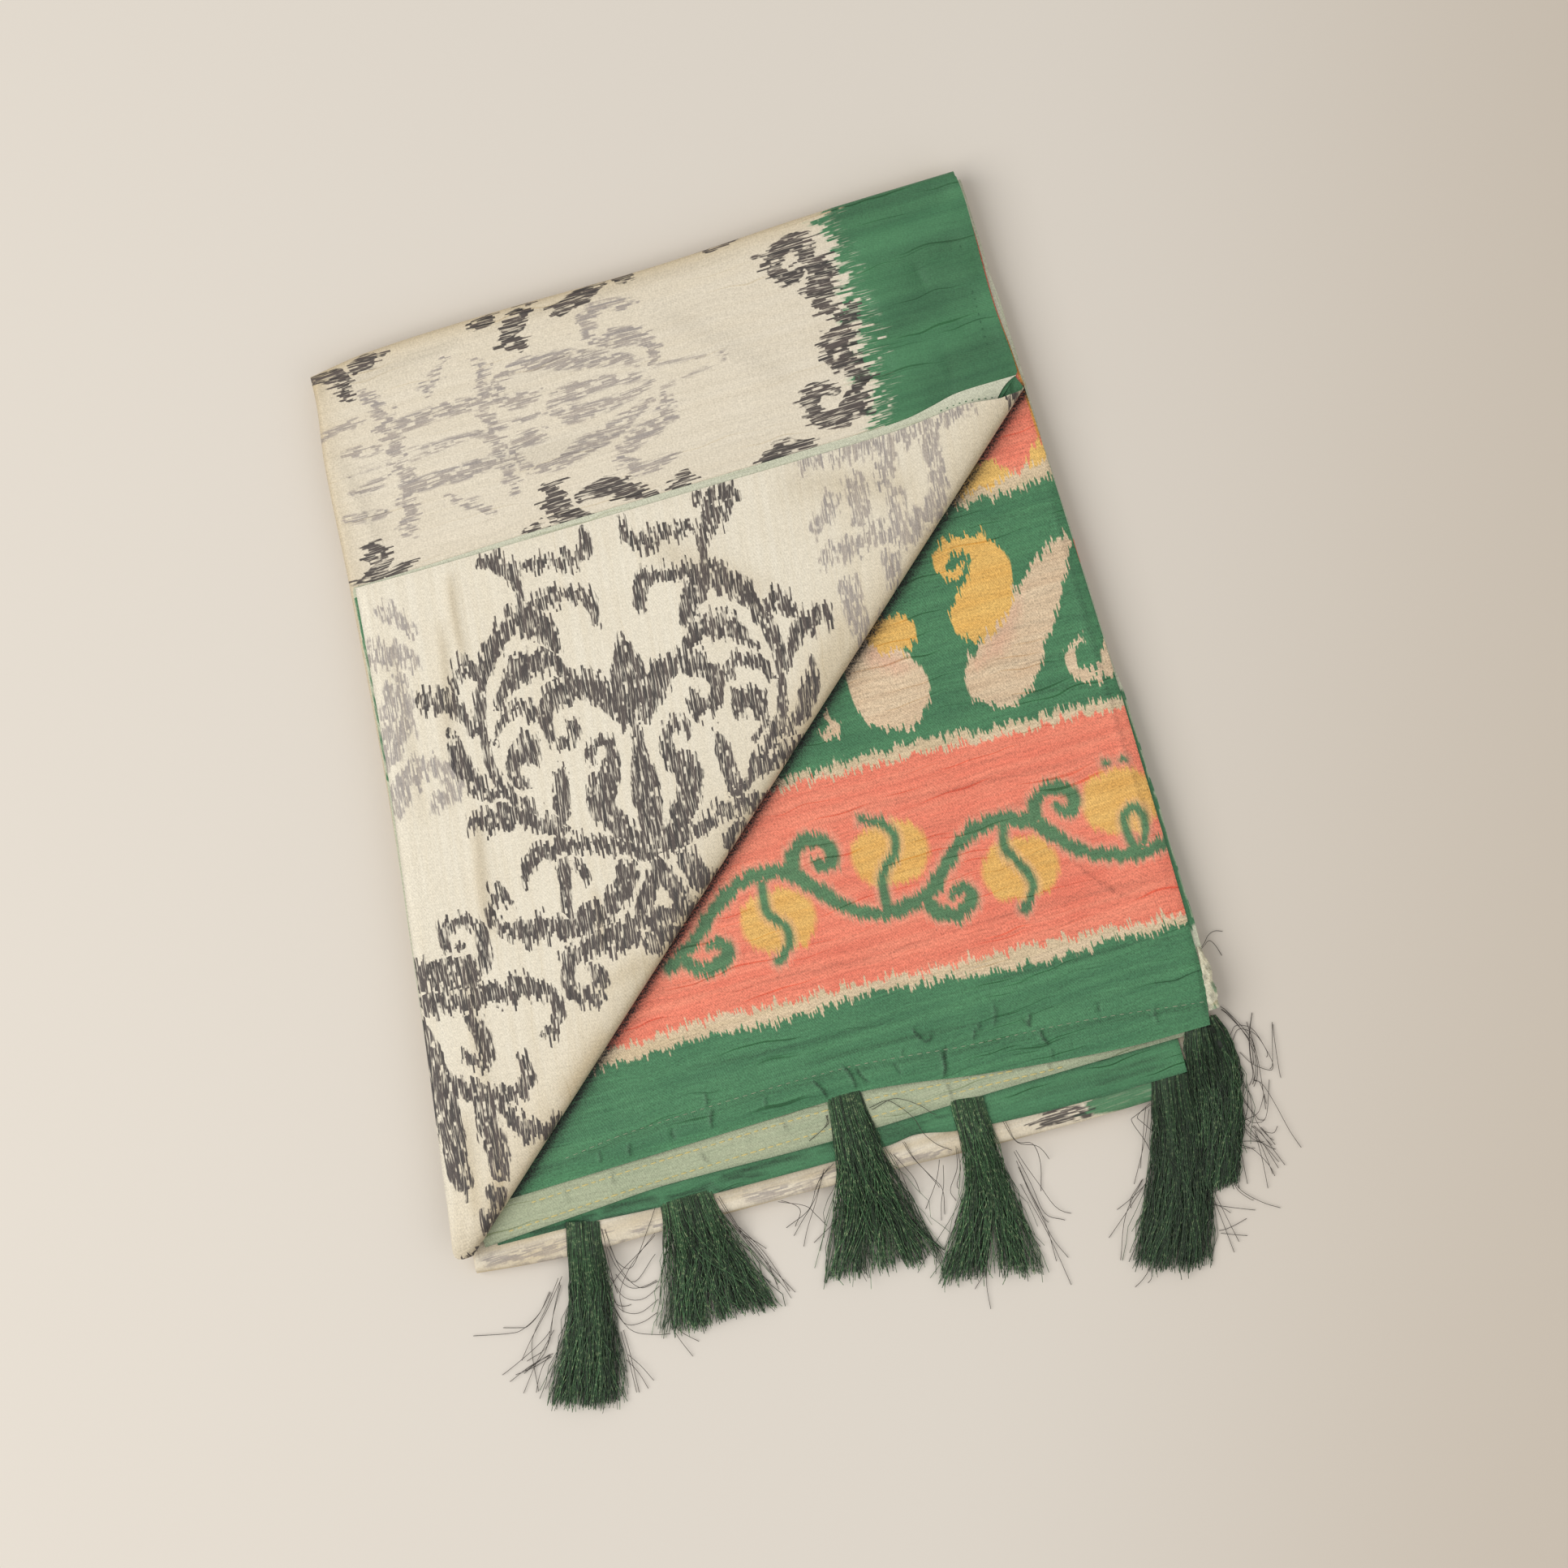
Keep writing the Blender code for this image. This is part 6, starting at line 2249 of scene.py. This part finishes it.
@dataclass
class LooseThreads(Piece):
    """The single threads that have strayed from the tassels and lie beside them, each with a shorter one."""

    pulled_in_from: float = 155.0
    pull: float = 0.52
    beside: int = 1
    radius: float = 0.15
    seed: int = 5

    def build(self, finish: Material) -> Object:
        """Makes the threads and seats them.

        Args:
            finish: The threads' material.

        Returns:
            The seated object.
        """
        rng = np.random.default_rng(self.seed)
        paths = []
        for marks in LOOSE_THREADS:
            for companion in range(1 + self.beside):
                line = spine(tuple((x, y, 0.3) for x, y in marks), 5)
                if companion:
                    line = line[:int(len(line) * rng.uniform(0.65, 1.0))]
                    spread = np.linspace(0, 1, len(line)) ** 1.5
                    line[:, :2] += rng.normal(0, 1.0, 2) + np.outer(spread, rng.normal(0, 6.0, 2))
                x, y = line[:, 0], line[:, 1]
                beyond = x - self.pulled_in_from
                x = np.where(beyond > 0, self.pulled_in_from + beyond * self.pull, x)
                arch = np.sin(np.linspace(0, math.pi, len(x))) * rng.uniform(0.3, 1.6)
                paths.append(np.column_stack([x, y, softened(resting(x, y), 4) + 0.25 + arch]))
        shades = rng.random(len(paths)) * 0.5
        return self.seat(thread_bundle(self.name, paths, shades, np.ones(len(paths)), self.radius, finish))


class Seam(NamedTuple):
    """One line of running stitches: y at x, its ends, and the height that it lies at."""

    line: Curve
    start: float
    stop: float
    height: float


@dataclass
class Stitching(Piece):
    """Running stitches, set along their seams by a Geometry Nodes tree; upright seams give x at y."""

    seams: tuple[Seam, ...]
    spacing: float = 3.6
    stitch: float = 2.1
    radius: float = 0.17
    seed: int = 3
    upright: bool = False

    def build(self, finish: Material) -> Object:
        """Makes the stitches and seats them.

        Args:
            finish: The thread's material.

        Returns:
            The seated object.
        """
        points, edges = [], []
        for seam in self.seams:
            x = spaced(seam.start, seam.stop, 2.0)
            y = seam.line(x)
            if self.upright:
                x, y = y, x
            first = len(points)
            points += list(zip(x, y, seam.height + bed(x, y)))
            edges += [(first + k, first + k + 1) for k in range(len(x) - 1)]
        obj = linked(self.name, shaped(self.name, np.array(points), edges, [], {}))
        RUNNING_STITCH.grow(obj, {"Spacing": self.spacing * MM, "Stitch length": self.stitch * MM,
                                  "Radius": self.radius * MM, "Seed": self.seed, "Finish": finish})
        return self.seat(obj)


@dataclass
class Studio:
    """The pale surface, the soft light from the upper left and the camera straight above; in metres."""

    lens: float = 85.0
    sensor: float = 36.0
    frame_width: float = 0.6293
    middle: Point = (0.0184, 0.0084)
    turn: float = -16.5
    cloth_height: float = 0.013
    half_surface: float = 2.5
    surface_depth: float = -0.0004
    room_colour: Colour = (1.0, 0.985, 0.965)
    room_light: float = 0.5

    def build(self) -> None:
        """Sets up the stage, the lights and the camera."""
        scene = bpy.context.scene
        mesh = bpy.data.meshes.new("surface")
        half = self.half_surface
        corners = [(x, y, self.surface_depth)
                   for x, y in ((-half, -half), (half, -half), (half, half), (-half, half))]
        mesh.from_pydata(corners, [], [(0, 1, 2, 3)])
        mesh.materials.append(Backdrop().material())
        linked("surface", mesh)
        self.light("window", (-1.25, 0.12, 1.5), 1.7, 23.0, (1.0, 0.985, 0.96))
        self.light("reflector", (0.9, -0.9, 1.7), 1.6, 4.0, (1.0, 0.97, 0.93))
        world = bpy.data.worlds.new("soft room")
        world.use_nodes = True
        room = world.node_tree.nodes["Background"].inputs
        room["Color"].default_value = (*self.room_colour, 1.0)
        room["Strength"].default_value = self.room_light
        scene.world = world
        data = bpy.data.cameras.new("camera")
        data.lens = self.lens
        data.sensor_width = self.sensor
        camera = linked("camera", data)
        camera.location = (*self.middle, self.cloth_height + self.frame_width * self.lens / self.sensor)
        camera.rotation_euler = (0.0, 0.0, math.radians(self.turn))
        scene.camera = camera
        scene.view_settings.view_transform = "Standard"

    def light(self, name: str, place: tuple[float, float, float], size: float, power: float,
              colour: Colour) -> None:
        """Hangs one soft square light that faces the middle.

        Args:
            name: The light's name.
            place: Where it hangs, in metres.
            size: Its side, in metres.
            power: Its power, in watts.
            colour: Its colour.
        """
        data = bpy.data.lights.new(name, "AREA")
        data.size, data.energy, data.color = size, power, colour
        obj = linked(name, data)
        obj.location = place
        obj.rotation_euler = (math.atan2(math.hypot(place[0], place[1]), place[2]), 0.0,
                              math.atan2(place[0], -place[1]))


@dataclass
class Saree:
    """The whole folded saree, from the hidden layers up to the turned-back corner and the tassels."""

    finishes: dict[str, Material] = field(default_factory=dict)

    def dye(self) -> None:
        """Makes every finish."""
        dark = Print("dark", Dye.DARK, Dye.DARK_BROWN, 5.6, 0.3, 0.95, 0.8, -0.04, True, -0.2, True)
        faded = Print("faded", Dye.FADED, Dye.FADED_BROWN, 5.6, 0.9, 0.68, 0.95, 0.01, True, 0.0, True)
        border = (Print("border", Dye.GREEN_PALE, Dye.GREEN_PALE, 12.0, 3.0, 0.45, 0.6, -0.04, grow=5.0),
                  Print("border", Dye.GREEN, Dye.GREEN_DEEP, 9.0, 0.8, 1.0, 0.75, -0.08, grow=3.5),
                  Print("border", Dye.GREEN, Dye.GREEN_DEEP, 6.0, 2.5, 1.0, grow=-4.0))
        spray = Print("faded", Dye.FADED, Dye.FADED_BROWN, 4.8, 0.8, 0.68, 0.95, 0.02, True, -1.2, True)
        fields = tuple(Print(name, first, second, 4.0, 0.6) for name, first, second, _ in PANEL_FIELDS)
        motifs = (
            Print("beige_leaf", Dye.BEIGE, Dye.BEIGE_DEEP, 4.2, 0.4, leaning=True),
            Print("pink_glow", Dye.PINK, Dye.PINK, 2.0, 4.0, 0.5, leaning=True),
            Print("yellow_hook", Dye.YELLOW, Dye.YELLOW_DEEP, 4.0, 0.4, leaning=True),
            Print("yellow_fruit", Dye.YELLOW, Dye.YELLOW_DEEP, 2.6, 1.6, 0.95, leaning=True),
            Print("green_vine", Dye.PINK, Dye.BEIGE, 2.2, 1.4, 0.35, leaning=True, grow=2.0),
            Print("green_vine", Dye.GREEN, Dye.GREEN_DEEP, 2.6, 1.2, 0.96, leaning=True, grow=0.2),
            Print("edge_line", Dye.ORANGE, Dye.YELLOW_DEEP, 0.3, 0.3),
        )
        cloths = (
            PrintedSatin("flap cloth", Dye.CREAM_LIT, Dye.CREAM_SHADE, (faded, dark), slub_u=0.7,
                         slub_v=50.0, mottling=0.22, grain=0.3, slub_amount=0.3),
            PrintedSatin("upper cloth", Dye.CREAM, Dye.CREAM_SHADE, (spray, *border, dark),
                         length=11.0, grain=0.3, slub_u=1.0, slub_v=60.0, slub_amount=0.6, mottling=0.16,
                         seed=3.0),
            PrintedSatin("panel cloth", Dye.CORAL, Dye.CORAL_DEEP, fields + motifs, length=7.0, thread=0.55,
                         slub_u=38.0, slub_v=0.9, slub_amount=0.75, mottling=0.8, grain=0.6, bump=0.28,
                         seed=6.0),
            PrintedSatin("reverse cloth", Dye.MINT_PALE, Dye.MINT,
                         (Print("green_edge", Dye.GREEN, Dye.GREEN_DEEP, 0.4, 0.3),),
                         slub_u=60.0, slub_v=0.9, slub_amount=0.5, bump=0.2),
            PrintedSatin("hem reverse cloth", Dye.MINT, Dye.MINT_SHADE, slub_u=50.0, slub_v=0.9,
                         slub_amount=1.0, mottling=0.6, bump=0.25),
            PrintedSatin("hem cloth", Dye.GREEN, Dye.GREEN_DEEP, slub_u=45.0, slub_v=0.9, slub_amount=1.0,
                         mottling=0.6, bump=0.25),
            # The inner face of the rolled corner, deep green: painted shade for the hollow inside the roll.
            PrintedSatin("flap inner cloth", Dye.GREEN_DEEP, Dye.GREEN, slub_u=60.0, slub_v=0.9),
            PrintedSatin("side cloth", Dye.MINT_PALE, Dye.MINT, slub_u=0.9, slub_v=60.0, prints=(
                Print("coral_spot", Dye.CORAL, Dye.CORAL_DEEP, 0.6, 0.6),
                Print("orange_part", Dye.ORANGE, Dye.YELLOW, 2.0, 1.0),
                Print("green_part", Dye.GREEN, Dye.GREEN_DEEP, 2.0, 1.0),
                Print("pale_rim", Dye.MINT, Dye.MINT_PALE, 0.6, 0.3, 0.6, 0.4, 0.0),
            )),
            PrintedSatin("selvedge cloth", Dye.MINT_PALE, Dye.CREAM_SHADE,
                         (Print("green_spots", Dye.GREEN, Dye.GREEN_DEEP, 0.4, 0.3, 0.7),),
                         slub_u=3.0, slub_v=3.0, slub_amount=0.9, bump=0.3),
            PrintedSatin("stack cloth", Dye.CREAM, Dye.CREAM_SHADE, (
                Print("faded", Dye.FADED_BROWN, Dye.FADED, 7.0, 2.2, 0.6, 0.95, 0.04, True, 0.4, True),
                Print("green", Dye.GREEN, Dye.GREEN_DEEP, 7.0, 1.0, 0.97, 0.15, -0.2, True),
                Print("dark", Dye.DARK, Dye.DARK_BROWN, 5.0, 0.6, 0.9, 0.8, 0.0, True, 0.0, True),
            ), thread=0.6, length=14.0, slub_u=1.0, slub_v=60.0, slub_amount=0.4, mottling=0.7, grain=0.22,
                seed=9.0),
        )
        for cloth in cloths:
            self.finishes[cloth.name] = cloth.material()
        for thread in (
            ThreadFinish("tassel thread", Dye.THREAD, Dye.THREAD_LIGHT, Dye.THREAD_GLINT, glint=0.95),
            ThreadFinish("stray thread", Dye.THREAD_BROWN, Dye.THREAD, Dye.THREAD, roughness=0.5),
            ThreadFinish("seam thread", Dye.STITCH, Dye.CREAM_PALE, Dye.CREAM_PALE, roughness=0.6),
            ThreadFinish("dull seam thread", Dye.MINT_SHADE, Dye.STITCH_DULL, Dye.STITCH, roughness=0.6),
            ThreadFinish("green seam thread", Dye.GREEN_DEEP, Dye.GREEN, Dye.GREEN, roughness=0.6),
        ):
            self.finishes[thread.name] = thread.material()

    def tassels(self) -> list[Tassel]:
        """Names the six tassels, from left to right along the hems and down the right side.

        Returns:
            The tassels.
        """
        return [
            Tassel("tassel_left", ("tassel_1",), "thread", root=(-118.2, -180.4), root_width=14.0,
                   end=(-137.6, -249.1), end_width=31, bow=2.0, waist=18, seed=21,
                   count=380, gather=0.34, flyaway=0.24, light=0.85),
            Tassel("tassel_fan", ("tassel_2",), "thread", root=(-75.1, -182.6), root_width=22.0,
                   end=(-75.3, -231.5), end_width=50, bow=0.0, waist=32, seed=22,
                   clumps=24, count=460, flyaway=0.18, gather=0.55),
            Tassel("tassel_middle", ("tassel_3",), "thread", root=(-2.5, -160.8), root_width=14.0,
                   end=(-7.0, -231.4), end_width=50, bow=1.0, waist=23, seed=23,
                   clumps=15, count=390, gather=0.52, flyaway=0.22, splits=((-0.5, 0.03), (0.25, 0.04))),
            Tassel("tassel_twin", ("tassel_4",), "thread", root=(44.2, -176.6), root_width=13.8,
                   end=(33.5, -245.7), end_width=46, bow=4.0, waist=18, seed=24,
                   clumps=13, count=380, gather=0.55, flyaway=0.26, splits=((0.06, 0.12), (0.6, 0.04))),
            Tassel("tassel_corner", ("tassel_5",), "thread", root=(144.8, -172.5), root_width=12.0,
                   end=(132.5, -236.8), end_width=15, bow=3.6, waist=21, seed=25,
                   clumps=11, count=420, gather=0.35, flyaway=0.14, ceiling=STACK_TOP,
                   shoulder=21.5, light=0.65),
            Tassel("tassel_right", ("tassel_6",), "thread", root=(126.0, -190.6), root_width=17.0,
                   end=(105.5, -262.5), end_width=31, bow=4.0, waist=24, seed=26,
                   clumps=18, count=480, gather=0.34, flyaway=0.2, light=0.55),
        ]

    def build(self) -> None:
        """Builds and dresses every piece."""
        self.dye()
        f = self.finishes
        panel = EndPanel("end_panel", ("pallu_panel",), "panel_cloth")
        panel_seam = Seam(panel.hem_line, -116.0, 146.0, PANEL_TOP + 0.02)
        Stitching("end_panel_stitches", (), "panel_cloth", (panel_seam,)).build(f["dull seam thread"])
        reverse_lines = (
            Seam(Curve((-150, -173.6), (-80.6, -171.1), (38.7, -171.2), (81.6, -173.2), (120, -174.0)),
                 -146.0, 84.0, STACK_TOP - 0.05),
            Seam(Curve((-138, -165), (-78.9, -163.6), (0, -163.4), (60, -168.6), (110, -173.6)),
                 -134.0, 64.0, STACK_TOP + 0.02),
        )
        Stitching("hem_stitches", (), "reverse_cloth", reverse_lines, stitch=2.8, radius=0.3,
                  seed=4).build(f["seam thread"])
        border_line = Seam(Curve((113.7, 138.0), (154.1, 139.1)), 113.7, 154.1, BODY_TOP + 0.02)
        Stitching("border_stitches", (), "body_cloth", (border_line,), stitch=1.0, spacing=2.9, radius=0.2,
                  seed=8, upright=True).build(f["green seam thread"])
        strip_line = Seam(Curve((112, 93.1), (123, 93.9), (136, 92.0)), 113.0, 134.0, UNDER_PLY_TOP + 0.05)
        Stitching("strip_stitches", (), "reverse_cloth", (strip_line,), stitch=0.9, spacing=2.6,
                  radius=0.25, seed=6).build(f["green seam thread"])
        FoldedLayers("folded_layers", ("folded_stack",), "stack_cloth").build([f["stack cloth"]])
        HemPly("lower_hem", ("hem_lower_ply",), "hem_cloth", LOWER_HEM, LOWER_HEM_ENDS, LOWER_HEM_TOP,
               LOWER_HEM_CREASES, length=0.036, over=REVERSE_HEM).build([f["hem cloth"]])
        HemPly("reverse_hem", ("hem_reverse_ply",), "reverse_cloth", REVERSE_HEM, REVERSE_HEM_ENDS, STACK_TOP,
               REVERSE_HEM_CREASES, length=0.028, over=PANEL_HEM).build([f["hem reverse cloth"]])
        SidePly("side_edge_ply", ("side_ply",), "side_cloth").build([f["side cloth"]])
        panel.build([f["panel cloth"], f["hem reverse cloth"]])
        FrayedCorner("frayed_corner", ("frayed_selvedge",), "selvedge_cloth").build([f["selvedge cloth"]])
        UpperLayer("upper_layer", ("body_layer",), "body_cloth").build([f["upper cloth"]])
        CornerUnderPly("corner_under_ply", ("flap_under_ply",), "reverse_cloth").build([f["reverse cloth"]])
        CornerFlap("corner_flap", ("turned_back_flap",), "flap_cloth").build(
            [f["flap cloth"], f["flap inner cloth"]])
        for tassel in self.tassels():
            tassel.build(f["tassel thread"])
        LooseThreads("loose_threads", (), "thread").build(f["stray thread"])


def main() -> None:
    """Builds the scene."""
    logging.basicConfig(level=logging.INFO, format="%(name)s %(message)s")
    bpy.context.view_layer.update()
    Studio().build()
    Saree().build()


if __name__ == "__main__":
    main()
